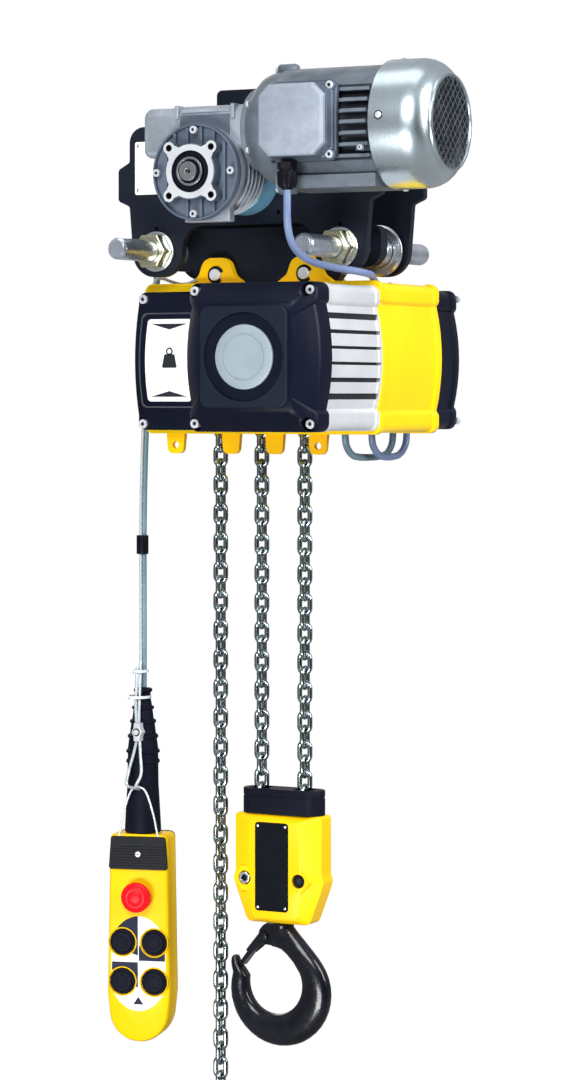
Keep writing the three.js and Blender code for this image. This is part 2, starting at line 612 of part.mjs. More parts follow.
function chains() {
  add('slack_strand', strand(SLACK_X, SLACK_END + GAP, STRAND_TOP), ZINC);
  add('load_strand', strand(LOAD_X, BLOCK_TOP - 3, STRAND_TOP), ZINC);
  add('dead_end_strand', strand(DEAD_X, BLOCK_TOP - 3, STRAND_TOP), ZINC);
  add('chain_stop', box(SLACK_X - 14, SLACK_X + 14, -14, 14, SLACK_END - 30, SLACK_END), BLACK_PLASTIC);
}

// ---------- bottom block ----------
function blockOutline(inset) {
  const w = 67 - inset;
  const right = [[w, BLOCK_TOP, 5], [w, -930, 8], [w + 3, -940, 8], [w - 2, -956, 8],
    [48 - inset, BLOCK_BOTTOM + inset, 10]];
  const left = right.map(([x, z, r]) => [-x, z, r]).reverse();
  return rounded([...right, ...left].map(([x, z, r]) => [BLOCK_X + x, z, r]));
}

function casingHalf(side) {
  const flat = side < 0 ? prismY(blockOutline(0), -16, -GAP / 2) : prismY(blockOutline(0), GAP / 2, 16);
  const crown = side < 0 ? loftY(blockOutline(12), blockOutline(0), -28, -15.5) : loftY(blockOutline(0),
    blockOutline(12), 15.5, 28);
  const sheaveSpace = rodY(44.5, -15.4, 15.4, BLOCK_X, BLOCK_SHEAVE_Z, 20);
  const chainWays = [LOAD_X, DEAD_X].map((x) => box(x - 13, x + 13, -13, 13, BLOCK_SHEAVE_Z,
    BLOCK_TOP + 1));
  const axle = rodY(8.3, -22, 22, BLOCK_X, BLOCK_SHEAVE_Z);
  const hookWay = rodZ(13.5, BLOCK_BOTTOM - 1, -950, BLOCK_X, 0);
  const collarSpace = rodZ(22, -972, -944, BLOCK_X, 0);
  return cut(join(flat, crown), sheaveSpace, ...chainWays, axle, hookWay, collarSpace);
}

function bottomBlock() {
  add('block_casing_front', casingHalf(-1), YELLOW);
  add('block_casing_rear', casingHalf(1), YELLOW);
  const stadium = rounded([[BLOCK_X - 60, -20, 19.9], [BLOCK_X + 63, -20, 19.9], [BLOCK_X + 63, 20, 19.9],
    [BLOCK_X - 60, 20, 19.9]], 6);
  const holes = [LOAD_X, DEAD_X].map((x) => box(x - 13, x + 13, -13, 13, BLOCK_TOP - 1, BUFFER_TOP + 1));
  add('chain_buffer', cut(prismZ(stadium, BLOCK_TOP + GAP, BUFFER_TOP), ...holes), RUBBER);
  const sheave = latheY([[0, -21], [8, -21], [8, -14], [42, -14], [42, -6], [28, -4], [28, 4], [42, 6],
    [42, 14], [8, 14], [8, 21],
    [0, 21]], BLOCK_X, BLOCK_SHEAVE_Z, 22);
  add('block_sheave', sheave, STEEL);
}

function arcPoints(cx, cz, r, from, to, steps) {
  const points = [];
  for (let i = 0; i <= steps; i += 1) {
    const angle = (from + (to - from) * i / steps) * Math.PI / 180;
    points.push([cx + r * Math.cos(angle), cz + r * Math.sin(angle)]);
  }
  return points;
}

function loadHook() {
  const outline = rounded([
    [13, -1003], [65, -1064], ...arcPoints(-3, HOOK_Z - 5, 77, 22, -198, 16),
    [-80, -1062, 5], [-78, -1051, 6], [-67, -1052, 5], [-69, -1064],
    ...arcPoints(-11.5, HOOK_Z + 4, 42.5, 166, 393, 13),
    [-7, -1030, 4], [-20, -1033, 4], [-36, -1032, 8], [-38, -1014, 8], [-25, -1003],
  ].map(([x, z, r]) => [BLOCK_X + x, z, r]), 3);
  const bow = prismY(outline, -13, 13);
  const bossCuts = [-1, 1].map((side) => box(BLOCK_X - 45, BLOCK_X - 12, 10 * side - 3.2, 10 * side + 3.2,
    -1040, -1005));
  const shank = latheZ([[0, -1010], [13, -1010], [13, -970.5], [21, -970], [21, -958], [12, -957],
    [12, -947], [0, -947]],
    BLOCK_X, 0, 20);
  add('hook', join(cut(bow, ...bossCuts), shank), FORGED);

  const px = BLOCK_X - 27;
  const pz = -1021;
  const cheek = rounded([[px + 8, pz + 2, 6], [px - 3, pz + 9, 6], [px - 30, pz - 22], [px - 20, pz - 30],
    [px + 5, pz - 7, 5]]);
  const tongue = rounded([[px - 20, pz - 12], [px - 39, pz - 41, 2], [px - 35, pz - 45, 2],
    [px - 13, pz - 20]]);
  const latch = join(prismY(cheek, -10, -7.5), prismY(cheek, 7.5, 10), prismY(tongue, -9, 9),
    rodY(3, 7, 12, px, pz, 12), rodY(3, -12, -7, px, pz, 12));
  add('hook_latch', latch, STEEL);
}

// ---------- pendant control ----------
function pendantControl() {
  const group = new THREE.Group();
  group.position.set(PENDANT[0], PENDANT[1], 0);
  group.rotation.z = PENDANT_YAW;
  hoist.add(group);
  const outline = (inset) => rounded([[inset - 43, PENDANT_TOP, 6], [43 - inset, PENDANT_TOP, 6],
    [47 - inset, -1120],
    [47 - inset, PENDANT_BOTTOM + 2 * inset, 44 - inset],
      [inset - 47, PENDANT_BOTTOM + 2 * inset, 44 - inset],
    [inset - 47, -1120]]);
  const shell = join(loftY(outline(5), outline(0), -28, -20), prismY(outline(0), -20.5, 14));
  const hollow = prismY(outline(6), -18, 15);
  const openings = [rodY(10, -40, 0, 0, ESTOP_Z)];
  for (const x of [-BUTTON_X, BUTTON_X]) {
    for (const z of BUTTON_ROWS) {
      openings.push(rodY(19.5, -40, 0, x, z, 12));
    }
  }
  add('pendant_shell', cut(shell, hollow, ...openings), YELLOW, group);
  add('pendant_back', join(prismY(outline(1), 14 + GAP, 22), loftY(outline(1), outline(5), 21.5, 27)),
    BLACK_PLASTIC, group);
  add('pendant_top_plate', prismY(rounded([[-40, -896, 3], [40, -896, 3], [44, -943, 3], [-44, -943, 3]]),
    -32, -28 - GAP),
    BLACK_PLASTIC, group);
  const boot = latheZ([[0, PENDANT_TOP + GAP], [25, PENDANT_TOP + GAP], [26, -880], [22, -780],
    [24, -762], [20, -756], [13, -690],
    [11, -686], [0, -686]], 0, -2, 20);
  add('pendant_boot', boot, RUBBER, group);
  add('estop_stem', rodY(9.5, -38, -19, 0, ESTOP_Z, 16), BLACK_PLASTIC, group);
  const head = latheY([[0, -52], [14, -52], [20, -48], [21, -43], [21, -39], [19, -38 - GAP],
    [0, -38 - GAP]],
    0, ESTOP_Z, 20);
  add('emergency_stop', head, RED, group);
  const names = [['button_up', -1, 0], ['button_down', 1, 0], ['button_left', -1, 1],
    ['button_right', 1, 1]];
  names.forEach(([name, side, row]) => {
    const profile = [[0, -33], [13, -33], [17, -31.5], [19, -28], [19, -19], [0, -19]];
    add(name, latheY(profile, side * BUTTON_X, BUTTON_ROWS[row], 12), RUBBER, group);
  });
}

// ---------- cables ----------
const TRAVEL_ROUTE = [
  [151, -250, 1.7], [151, -250, -15], [150.5, -249, -32], [149, -243, -50], [148, -230, -67],
  [149, -210, -80], [152, -180, -89], [158, -145, -94], [165, -112, -97], [172, -85, -99],
  [175, -62, -101], [172, -38, -103], [165, -15, -109], [160, 10, -115], [155, 45, -118],
  [144, 90, -118], [127, 125, -114.5], [112, 148, -110.8], [107, 160, -110.8], [100, 180, -111.2],
  [95, 203, -114.5], [94, 222, -122], [94, 235, -135], [94, 243, -152], [94, 244, -180], [94, 244, -250],
  [94, 244, -325.3], [94, 241, -336.3], [94, 231, -346], [94, 217, -352.2], [94, 202, -354.3],
  [94, 186, -355], [94, 170, -354.6], [94, 154, -352.2], [94, 140, -346], [94, 130, -336.3],
  [94, 127, -325.3], [94, 127, -319.3],
];
const PENDANT_ROUTE = [
  [72, 86, -319.3], [72, 86, -325.3], [72, 89, -336.3], [72, 99, -346], [72, 113, -352.2],
  [72, 130, -354.3], [72, 165, -355.3], [72, 200, -354.3], [72, 217, -352.2], [72, 231, -346],
  [72, 241, -336.3], [72, 244, -325.3], [72, 244, -250], [72, 244, -180], [72, 243, -152],
  [72, 235, -135], [71, 222, -122], [68, 203, -114.5], [62, 182, -111.2], [50, 150, -110.8],
  [36, 132, -114], [14, 112, -118], [-15, 96, -118.5], [-45, 87, -115], [-66, 74, -107], [-82, 61, -95],
  [-98, 50, -76], [-120, 42, -55], [-140, 37, -43.5], [-157, 34, -42.5], [-176, 32, -49],
  [-190, 31, -63], [-198, 30, -84], [-202, 30, -110], [-207, 29, -160], [-213, 28, -230],
  [-219, 28, -330], [-222, 28, -450], [-222, 28, -570], [-222, 28, -660], [-222, 28, -684.9],
];
const WIRE_ROUTE = [
  [-215.3, 2.9, -745], [-216.5, 6, -712], [-218.5, 12, -680], [-221.5, 19.6, -640], [-222, 20.3, -560],
  [-222, 20.3, -440], [-219, 20.3, -330], [-213, 20.3, -230], [-207, 20.3, -160], [-201, 16, -120],
  [-188, 2, -104], [-168, -14, -101], [-148, -24, -106], [-130, -27.5, -110], [-116, -28.5, -109],
  [-104, -28.7, -104],
];

function cables() {
  add('travel_cable', tube(TRAVEL_ROUTE, CABLE_R, 8, 54), GREY_CABLE);
  add('pendant_cable', tube(PENDANT_ROUTE, CABLE_R, 8, 60), GREY_CABLE);
  add('strain_wire', tube(WIRE_ROUTE, WIRE_R, 8, 26), ZINC);
}

sidePlates();
crossbars();
suspensionPlate();
wheels();
gearbox();
wormShaft();
travelMotor();
terminalBox();
fanEnd();
hoistFrame();
labelCover();
hoistMotor();
rearCap();
hoistDrive();
glandPlate();
chains();
bottomBlock();
loadHook();
pendantControl();
cables();

export default hoist;
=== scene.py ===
"""An electric chain hoist with a motor-driven beam trolley, a bottom block and a pendant control.

Sizes are millimetres in the part's own frame: X along the beam, Y away from the drive side, Z up from
the plane where the wheels stand. The camera, the lamps and the routes of the cords are in metres.
"""
import math

import bmesh
import bpy
from mathutils import Matrix, Vector


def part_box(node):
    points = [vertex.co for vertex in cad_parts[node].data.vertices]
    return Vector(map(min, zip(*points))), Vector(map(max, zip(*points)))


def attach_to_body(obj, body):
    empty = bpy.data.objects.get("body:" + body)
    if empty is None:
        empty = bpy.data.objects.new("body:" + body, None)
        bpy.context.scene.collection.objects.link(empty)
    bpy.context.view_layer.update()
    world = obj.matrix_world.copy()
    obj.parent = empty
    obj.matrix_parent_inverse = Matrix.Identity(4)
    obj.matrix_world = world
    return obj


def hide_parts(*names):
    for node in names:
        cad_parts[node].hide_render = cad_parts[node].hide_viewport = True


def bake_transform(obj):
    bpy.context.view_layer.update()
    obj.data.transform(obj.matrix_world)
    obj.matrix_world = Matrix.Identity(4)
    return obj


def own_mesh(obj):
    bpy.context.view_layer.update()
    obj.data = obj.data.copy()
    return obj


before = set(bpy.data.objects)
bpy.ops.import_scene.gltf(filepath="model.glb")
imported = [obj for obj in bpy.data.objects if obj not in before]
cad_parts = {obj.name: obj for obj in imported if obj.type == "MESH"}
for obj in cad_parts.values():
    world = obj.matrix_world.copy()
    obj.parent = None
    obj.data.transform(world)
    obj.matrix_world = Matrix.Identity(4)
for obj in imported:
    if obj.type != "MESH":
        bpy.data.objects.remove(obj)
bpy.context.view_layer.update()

MM = 0.001

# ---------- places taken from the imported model, and sizes that go with them ----------


def middle(node):
    """The middle of a CAD node's box, in millimetres."""
    low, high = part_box(node)
    return (low + high) / 2 / MM


def low_of(node):
    """The low corner of a CAD node's box, in millimetres."""
    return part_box(node)[0] / MM


def high_of(node):
    """The high corner of a CAD node's box, in millimetres."""
    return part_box(node)[1] / MM


BAR_X = middle("crossbar_right").x
BAR_Z = middle("crossbar_right").z
BAR_HALF = high_of("crossbar_right").y
AXIS_Z = middle("wheel_rear_left").z
WHEEL_X = middle("wheel_rear_right").x
WORM_Z = middle("worm_shaft").z
WORM_Y = middle("worm_shaft").y
MOTOR_END = low_of("fan_cover").x
FAN_END = high_of("fan_cover").x
BOX_X = middle("terminal_box").x
BOX_Z = middle("terminal_box").z
GLAND = middle("travel_gland")
HOIST_X = middle("hoist_frame").x
HOIST_TOP = -110.0
HOIST_BOTTOM = -320.0
HOIST_HALF = 180.0
HOIST_BULGE = 8.5
FRAME_FRONT = -43.0
FRAME_BACK = low_of("rear_cap").y - 0.3
CAP_BACK = high_of("rear_cap").y
DECK_Z = -124.0
COVER_X = middle("cover_badge").x
SLACK_X = middle("slack_strand").x
LOAD_X = middle("load_strand").x
DEAD_X = middle("dead_end_strand").x
BLOCK_X = middle("block_sheave").x
BUFFER_TOP = high_of("chain_buffer").z
SHEAVE_X = middle("cover_badge").x - 140.0
PIN_XS = [middle("suspension_pin_left").x, middle("suspension_pin_right").x]
PIN_Z = middle("suspension_pin_left").z
LINK_T = 7.1
LINK_PITCH = 20.5
LINK_W = 23.0
PENDANT_YAW = math.radians(15)
BOLT_XS = (BLOCK_X - 46.4, BLOCK_X + 37)
BOLT_Z = -938
OVAL_Z, OVAL_HALF_H, OVAL_HALF_W, OVAL_CLIP = -1077.5, 67.5, 46.7, 39.7
PENDANT_TOP = -893.0
ESTOP_Z = -981.0
BUTTON_X = 23.3
BUTTON_ROWS = [-1047.0, -1103.0]


# ---------- camera and lights (in metres) ----------
SENSOR_WIDTH = 36.0
FOCAL_LENGTH = 106.667
CAMERA_SHIFT = -0.13426
CAMERA_PLACE = (2.04476, -3.97299, -0.266)
CAMERA_TURN = 27

# name, place, target, size, watts
LAMPS = [
    ("key", (3.2, -0.3, 1.0), (0, 0, -0.2), (1.3, 2.2), 135),
    ("front", (1.0, -3.7, 1.4), (0, 0, -0.3), (1.6, 1.6), 115),
    ("low_front", (0.2, -3.2, -1.9), (0, 0, -0.9), (1.4, 0.8), 85),
    ("top", (0.0, -0.4, 2.6), (0, 0, -0.5), (2.4, 1.4), 12),
    ("back", (-2.2, 2.4, 1.0), (0, 0, -0.5), (1.6, 2.2), 30),
]

ROOM_STRENGTH = 0.42
ROOM_LEVELS = [(0.34, 0.95), (0.45, 0.55), (0.56, 0.60), (0.70, 1.05)]    # (height from 0 to 1, brightness)
FLOOR_LEVEL = 0.75
CEILING_LEVEL = 1.1
DARK_PATCH_AIM = (0.87, -0.49, 0.04)
DARK_PATCH_COSINES = (0.80, 0.94)    # where the patch starts, and where it is darkest
DARK_PATCH_LEVEL = 0.06


def add_node(tree, kind, **values):
    """A shader node, with inputs set by name (an underscore stands for a space)."""
    node = tree.nodes.new(f"ShaderNode{kind}")
    for name, value in values.items():
        node.inputs[name.replace("_", " ")].default_value = value
    return node


def add_camera():
    """A level camera in front of the drive side, 27 degrees round to the right."""
    data = bpy.data.cameras.new("camera")
    data.sensor_width = SENSOR_WIDTH
    data.lens = FOCAL_LENGTH
    data.shift_y = CAMERA_SHIFT
    camera = bpy.data.objects.new("camera", data)
    camera.location = CAMERA_PLACE
    camera.rotation_euler = (math.radians(90), 0, math.radians(CAMERA_TURN))
    bpy.context.collection.objects.link(camera)
    bpy.context.scene.camera = camera


def add_area(name, place, target, size, watts):
    """A rectangular lamp that faces its target."""
    data = bpy.data.lights.new(name, "AREA")
    data.shape = "RECTANGLE"
    data.size, data.size_y = size
    data.energy = watts
    lamp = bpy.data.objects.new(name, data)
    lamp.location = place
    aim = Vector(target) - Vector(place)
    lamp.rotation_euler = aim.to_track_quat("-Z", "Y").to_euler()
    bpy.context.collection.objects.link(lamp)


def room_brightness(tree):
    """Light floor and ceiling with a grey band between them, and a dark patch to one side."""
    coord = add_node(tree, "TexCoord")
    split = add_node(tree, "SeparateXYZ")
    height = add_node(tree, "MapRange", From_Min=-1, From_Max=1)
    ramp = add_node(tree, "ValToRGB")
    ends = ramp.color_ramp.elements
    ends[0].position = 0
    ends[0].color = (FLOOR_LEVEL,) * 3 + (1,)
    ends[1].position = 1
    ends[1].color = (CEILING_LEVEL,) * 3 + (1,)
    for at, level in ROOM_LEVELS:
        ends.new(at).color = (level, level, level * 1.04, 1)
    aim = add_node(tree, "VectorMath")
    aim.operation = "DOT_PRODUCT"
    aim.inputs[1].default_value = DARK_PATCH_AIM
    start, full = DARK_PATCH_COSINES
    shade = add_node(tree, "MapRange", From_Min=start, From_Max=full, To_Min=1, To_Max=DARK_PATCH_LEVEL)
    dim = add_node(tree, "VectorMath")
    dim.operation = "SCALE"
    link = tree.links.new
    link(coord.outputs["Generated"], split.inputs[0])
    link(split.outputs["Z"], height.inputs["Value"])
    link(height.outputs["Result"], ramp.inputs["Fac"])
    link(coord.outputs["Generated"], aim.inputs[0])
    link(aim.outputs["Value"], shade.inputs["Value"])
    link(ramp.outputs["Color"], dim.inputs[0])
    link(shade.outputs["Result"], dim.inputs["Scale"])
    return dim.outputs["Vector"]


def add_studio():
    """A white backdrop, a room that only lights and mirrors, and the lamps."""
    world = bpy.data.worlds.new("studio")
    bpy.context.scene.world = world
    world.use_nodes = True
    tree = world.node_tree
    tree.nodes.clear()
    out = add_node(tree, "OutputWorld")
    mix = add_node(tree, "MixShader")
    paths = add_node(tree, "LightPath")
    seen = add_node(tree, "Background", Color=(1, 1, 1, 1), Strength=1)
    light = add_node(tree, "Background", Strength=ROOM_STRENGTH)
    link = tree.links.new
    link(room_brightness(tree), light.inputs["Color"])
    link(paths.outputs["Is Camera Ray"], mix.inputs[0])
    link(light.outputs[0], mix.inputs[1])
    link(seen.outputs[0], mix.inputs[2])
    link(mix.outputs[0], out.inputs["Surface"])
    bpy.context.scene.view_settings.view_transform = "Standard"
    for lamp in LAMPS:
        add_area(*lamp)


# ---------- materials ----------
NOISE_LOW = 0.3
NOISE_HIGH = 0.7


def noise(tree, scale, detail, rough, stretch=(1, 1, 1)):
    """Noise in the object's own space, stretched along its axes."""
    coord = add_node(tree, "TexCoord")
    mapping = add_node(tree, "Mapping", Scale=stretch)
    node = add_node(tree, "TexNoise", Scale=scale, Detail=detail, Roughness=rough)
    tree.links.new(coord.outputs["Object"], mapping.inputs["Vector"])
    tree.links.new(mapping.outputs[0], node.inputs["Vector"])
    return node


def spread(tree, source, low, high):
    """Maps the middle of a noise's range onto low to high."""
    node = add_node(tree, "MapRange", From_Min=NOISE_LOW, From_Max=NOISE_HIGH, To_Min=low, To_Max=high)
    tree.links.new(source, node.inputs["Value"])
    return node.outputs["Result"]


def two_tone(tree, source, dark, light):
    """A colour that drifts between two tones."""
    ramp = add_node(tree, "ValToRGB")
    for stop, at, colour in zip(ramp.color_ramp.elements, (NOISE_LOW, NOISE_HIGH), (dark, light)):
        stop.position = at
        stop.color = (*colour, 1)
    tree.links.new(source, ramp.inputs["Fac"])
    return ramp.outputs["Color"]


def surface(name, dark, light, rough, metallic=0.0, blotch=14.0, grain=900.0, bump=0.15, depth=0.0002,
            stretch=(1, 1, 1), coat=0.0, specular=0.5):
    """A finish whose colour drifts slowly, with a roughness that varies and a fine grain."""
    material = bpy.data.materials.new(name)
    material.use_nodes = True
    tree = material.node_tree
    shader = tree.nodes["Principled BSDF"]
    shader.inputs["Metallic"].default_value = metallic
    shader.inputs["Coat Weight"].default_value = coat
    shader.inputs["Coat Roughness"].default_value = 0.08
    shader.inputs["Specular IOR Level"].default_value = specular
    slow = noise(tree, blotch, 4.0, 0.6)
    fine = noise(tree, grain, 2.0, 0.5, stretch)
    tree.links.new(two_tone(tree, slow.outputs["Fac"], dark, light), shader.inputs["Base Color"])
    tree.links.new(spread(tree, fine.outputs["Fac"], rough[0], rough[1]), shader.inputs["Roughness"])
    relief = add_node(tree, "Bump", Strength=bump, Distance=depth)
    tree.links.new(fine.outputs["Fac"], relief.inputs["Height"])
    tree.links.new(relief.outputs[0], shader.inputs["Normal"])
    return material


BLACK_STEEL = surface("black_powder_coat", (0.007, 0.010, 0.018), (0.013, 0.017, 0.028), (0.38, 0.52),
                      bump=0.2, grain=1400, specular=0.12)
ZINC = surface("bright_zinc", (0.66, 0.71, 0.77), (0.82, 0.86, 0.9), (0.2, 0.34), 1.0, blotch=30, grain=1600,
               bump=0.12)
YELLOW_ZINC = surface("yellow_passivated_zinc", (0.62, 0.58, 0.30), (0.84, 0.84, 0.66), (0.18, 0.34), 1.0,
                      blotch=60, grain=1600, bump=0.12)
BLUE_ZINC = surface("blue_passivated_zinc", (0.10, 0.38, 0.66), (0.34, 0.70, 0.92), (0.2, 0.34), 0.4,
                    blotch=12, grain=1400, bump=0.1)
CAST_ALU = surface("cast_aluminium", (0.25, 0.29, 0.34), (0.42, 0.47, 0.53), (0.42, 0.64), 0.45, blotch=26,
                   grain=1100, bump=0.5, depth=0.0003)
# A darker copy of the cast aluminium: painted shade on the terminal box's base.
BOX_ALU_SHADED = surface("box_casting_painted_shade", (0.06, 0.08, 0.12), (0.10, 0.125, 0.175), (0.42, 0.6), 0.3, blotch=26,
                  grain=1100, bump=0.4, depth=0.0003)
MOTOR_ALU = surface("motor_casting", (0.10, 0.125, 0.155), (0.19, 0.225, 0.265), (0.42, 0.6), 0.35, blotch=26,
                    grain=1100, bump=0.5, depth=0.0003)
GREY_CAST = surface("grey_cast_cover", (0.078, 0.105, 0.148), (0.13, 0.165, 0.225), (0.4, 0.58), 0.25,
                    blotch=24, grain=1200, bump=0.35, depth=0.0002)
BLASTED_ALU = surface("blasted_aluminium", (0.26, 0.30, 0.365), (0.33, 0.375, 0.445), (0.45, 0.62), 0.25,
                      blotch=60, grain=1500, bump=0.45, depth=0.0002)
MACHINED_ALU = surface("machined_aluminium", (0.56, 0.59, 0.62), (0.66, 0.69, 0.72), (0.3, 0.44), 0.25,
                       blotch=25, grain=1800, bump=0.12)
BADGE_ALU = surface("brushed_badge", (0.26, 0.34, 0.385), (0.38, 0.46, 0.505), (0.38, 0.5), 0.4, blotch=9,
                    grain=1700, bump=0.08)
EXTRUDED_ALU = surface("extruded_aluminium", (0.60, 0.63, 0.67), (0.74, 0.76, 0.79), (0.3, 0.44), 0.3,
                       blotch=10, grain=700, bump=0.12, stretch=(3, 0.05, 3))
# Near-black painted shade for the bottoms of the gaps between cooling fins and for the walls of screw holes;
# the casting there is no darker than elsewhere.
GAP_SHADE_BLACK = surface("painted_shade_in_gaps_and_holes", (0.012, 0.015, 0.022), (0.03, 0.034, 0.045), (0.4, 0.6), 0.2,
                   grain=900, bump=0.3, specular=0.15)
# A darker, more orange copy of the yellow enamel: painted shade on the faces cut into the frame casting, its
# bores, ears and feet. The left inner disc also takes this colour.
AMBER_AND_SHADE_YELLOW = surface("amber_yellow_and_painted_shade", (0.94, 0.50, 0.001), (0.97, 0.58, 0.001), (0.26, 0.38), blotch=6, grain=700,
                bump=0.03, specular=0.25)
YELLOW = surface("yellow_enamel", (0.95, 0.60, 0.001), (0.98, 0.66, 0.001), (0.26, 0.4), blotch=9, grain=700,
                 bump=0.06, specular=0.25)
BLOCK_YELLOW = surface("block_enamel", (0.93, 0.54, 0.001), (0.97, 0.60, 0.001), (0.3, 0.42), blotch=9,
                       grain=500, bump=0.1, specular=0.2)
YELLOW_PLASTIC = surface("yellow_plastic", (0.90, 0.53, 0.001), (0.94, 0.60, 0.001), (0.36, 0.5), blotch=12,
                         grain=1300, bump=0.1, specular=0.1)
COVER_BLACK = surface("cover_plastic", (0.003, 0.0045, 0.012), (0.006, 0.008, 0.020), (0.3, 0.42), blotch=8,
                      grain=1500, bump=0.12, specular=0.1)
PANEL_BLUE = surface("panel_plastic", (0.007, 0.011, 0.020), (0.010, 0.015, 0.027), (0.36, 0.5), blotch=10,
                     grain=1500, bump=0.2, specular=0.12)
BLACK_PLASTIC = surface("black_plastic", (0.002, 0.003, 0.006), (0.005, 0.006, 0.010), (0.28, 0.45),
                        blotch=20, grain=1200, bump=0.15, specular=0.1)
RUBBER = surface("black_rubber", (0.003, 0.004, 0.010), (0.006, 0.007, 0.016), (0.45, 0.65), blotch=25,
                 grain=1300, bump=0.3, specular=0.08)
FORGED = surface("forged_black", (0.003, 0.004, 0.007), (0.007, 0.008, 0.013), (0.15, 0.26), blotch=30,
                 grain=75, bump=0.3, depth=0.0014, coat=0.2, specular=0.25)
STEEL = surface("turned_steel", (0.42, 0.44, 0.47), (0.58, 0.60, 0.62), (0.22, 0.4), 1.0, blotch=35,
                grain=1300, bump=0.15)
CHAIN_STEEL = surface("chain_zinc", (0.26, 0.31, 0.32), (0.40, 0.46, 0.47), (0.13, 0.2), 1.0, blotch=20,
                      grain=600, bump=0.02)
NAVY = surface("navy_print", (0.006, 0.010, 0.030), (0.010, 0.016, 0.045), (0.35, 0.5), grain=1200, bump=0.06,
               specular=0.1)
RED = surface("red_plastic", (0.84, 0.003, 0.010), (0.90, 0.006, 0.015), (0.28, 0.4), blotch=30, grain=1200,
              bump=0.06, specular=0.14)
CABLE = surface("cable_sheath", (0.13, 0.23, 0.30), (0.19, 0.31, 0.39), (0.34, 0.48), blotch=18, grain=1100,
                bump=0.1)
WIRE = surface("sleeved_wire", (0.40, 0.46, 0.50), (0.60, 0.66, 0.70), (0.25, 0.4), 0.3, blotch=260,
               grain=1400, bump=0.3)
TIE_WHITE = surface("clear_nylon", (0.62, 0.68, 0.72), (0.74, 0.79, 0.82), (0.25, 0.4), grain=1200, bump=0.08)
SCREW = surface("screw_zinc", (0.60, 0.64, 0.69), (0.80, 0.83, 0.87), (0.22, 0.36), 0.4, blotch=60,
                grain=1600, bump=0.1)
# Near-black painted shade for the insides of recesses: the badge well, the hood screws' seats and a screw
# slot.
RECESS_SHADE_BLACK = surface("painted_shade_in_recesses", (0.0012, 0.0014, 0.002), (0.002, 0.0022, 0.003), (0.5, 0.7), grain=1400,
                     bump=0.1, specular=0.1)
TRAVEL_CABLE = surface("travel_cable_sheath", (0.13, 0.18, 0.34), (0.19, 0.25, 0.42), (0.34, 0.48), blotch=18,
                       grain=1100, bump=0.1)
LABEL_WHITE = surface("label_white", (0.84, 0.84, 0.85), (0.90, 0.90, 0.91), (0.4, 0.55), grain=1200,
                      bump=0.05)
# Black print on the labels; the same black is also painted shade at the floors of screw sockets and of the
# housing's slots.
INK_AND_SHADE_BLACK = surface("label_ink_and_painted_shade", (0.012, 0.015, 0.02), (0.02, 0.023, 0.03), (0.4, 0.5), grain=1200, bump=0.05,
                    specular=0.2)
THREAD = surface("threaded_zinc", (0.56, 0.64, 0.74), (0.76, 0.82, 0.90), (0.2, 0.32), 0.9, blotch=30,
                 grain=700, bump=0.25, stretch=(0.05, 4, 0.05))
HOOD_ZINC = surface("hood_zinc", (0.52, 0.64, 0.70), (0.72, 0.82, 0.88), (0.22, 0.33), 1.0, blotch=9,
                    grain=1500, bump=0.06)
LATCH_STEEL = surface("latch_steel", (0.20, 0.22, 0.24), (0.42, 0.45, 0.47), (0.24, 0.4), 1.0, blotch=40,
                      grain=1200)
RIM_GREY = surface("label_rim_grey", (0.035, 0.04, 0.055), (0.055, 0.06, 0.078), (0.4, 0.5), grain=1300,
                   bump=0.08)
FAN_PLASTIC = surface("fan_plastic", (0.02, 0.025, 0.04), (0.045, 0.05, 0.075), (0.3, 0.45), grain=1200,
                      bump=0.1)
BRONZE = surface("bronze", (0.50, 0.30, 0.12), (0.62, 0.40, 0.17), (0.25, 0.4), 1.0, grain=1200, bump=0.15)


# ---------- shape helpers (all in millimetres) ----------

def on_circle(cu, cv, radius, angle):
    """A point on a circle, at an angle in degrees."""
    turn = math.radians(angle)
    return cu + radius * math.cos(turn), cv + radius * math.sin(turn)


def arc(cu, cv, radius, start, end, steps=12):
    """Points on an arc, in degrees."""
    return [on_circle(cu, cv, radius, start + (end - start) * i / steps) for i in range(steps + 1)]


def rounded(corners, steps=7):
    """Rounds a closed outline given as (u, v) or (u, v, radius)."""
    points = []
    count = len(corners)
    for i, corner in enumerate(corners):
        here = Vector(corner[:2])
        radius = corner[2] if len(corner) > 2 else 0
        if not radius:
            points.append(tuple(here))
            continue
        a = (Vector(corners[i - 1][:2]) - here).normalized()
        b = (Vector(corners[(i + 1) % count][:2]) - here).normalized()
        half = a.angle(b) / 2
        centre = here + (a + b).normalized() * (radius / math.sin(half))
        start = here + a * (radius / math.tan(half)) - centre
        end = here + b * (radius / math.tan(half)) - centre
        turn = math.atan2(start.x * end.y - start.y * end.x, start.dot(end))
        for k in range(steps + 1):
            angle = turn * k / steps
            points.append((centre.x + start.x * math.cos(angle) - start.y * math.sin(angle),
                           centre.y + start.x * math.sin(angle) + start.y * math.cos(angle)))
    return points


def circle(cu, cv, radius, steps=32, start=0.0):
    """A closed ring of points, the first at an angle in degrees."""
    return [on_circle(cu, cv, radius, start + 360 * i / steps) for i in range(steps)]


def sector(cu, cv, inner, outer, start, end, steps=28):
    """Part of a flat ring, between two angles in degrees."""
    return arc(cu, cv, outer, start, end, steps) + arc(cu, cv, inner, end, start, steps)


def rounded_box(u0, v0, u1, v1, radius, steps=7):
    """A rectangle with four equal corners."""
    return rounded([(u0, v0, radius), (u1, v0, radius), (u1, v1, radius), (u0, v1, radius)], steps)


def bulged_side(u, v, bulge, half, steps):
    """A side between (u, v - half) and (u, v + half) whose middle lies further out by bulge."""
    points = []
    for i in range(2 * steps + 1):
        t = i / steps - 1
        points.append((u + bulge * (1 - t * t), v + half * t))
    return points


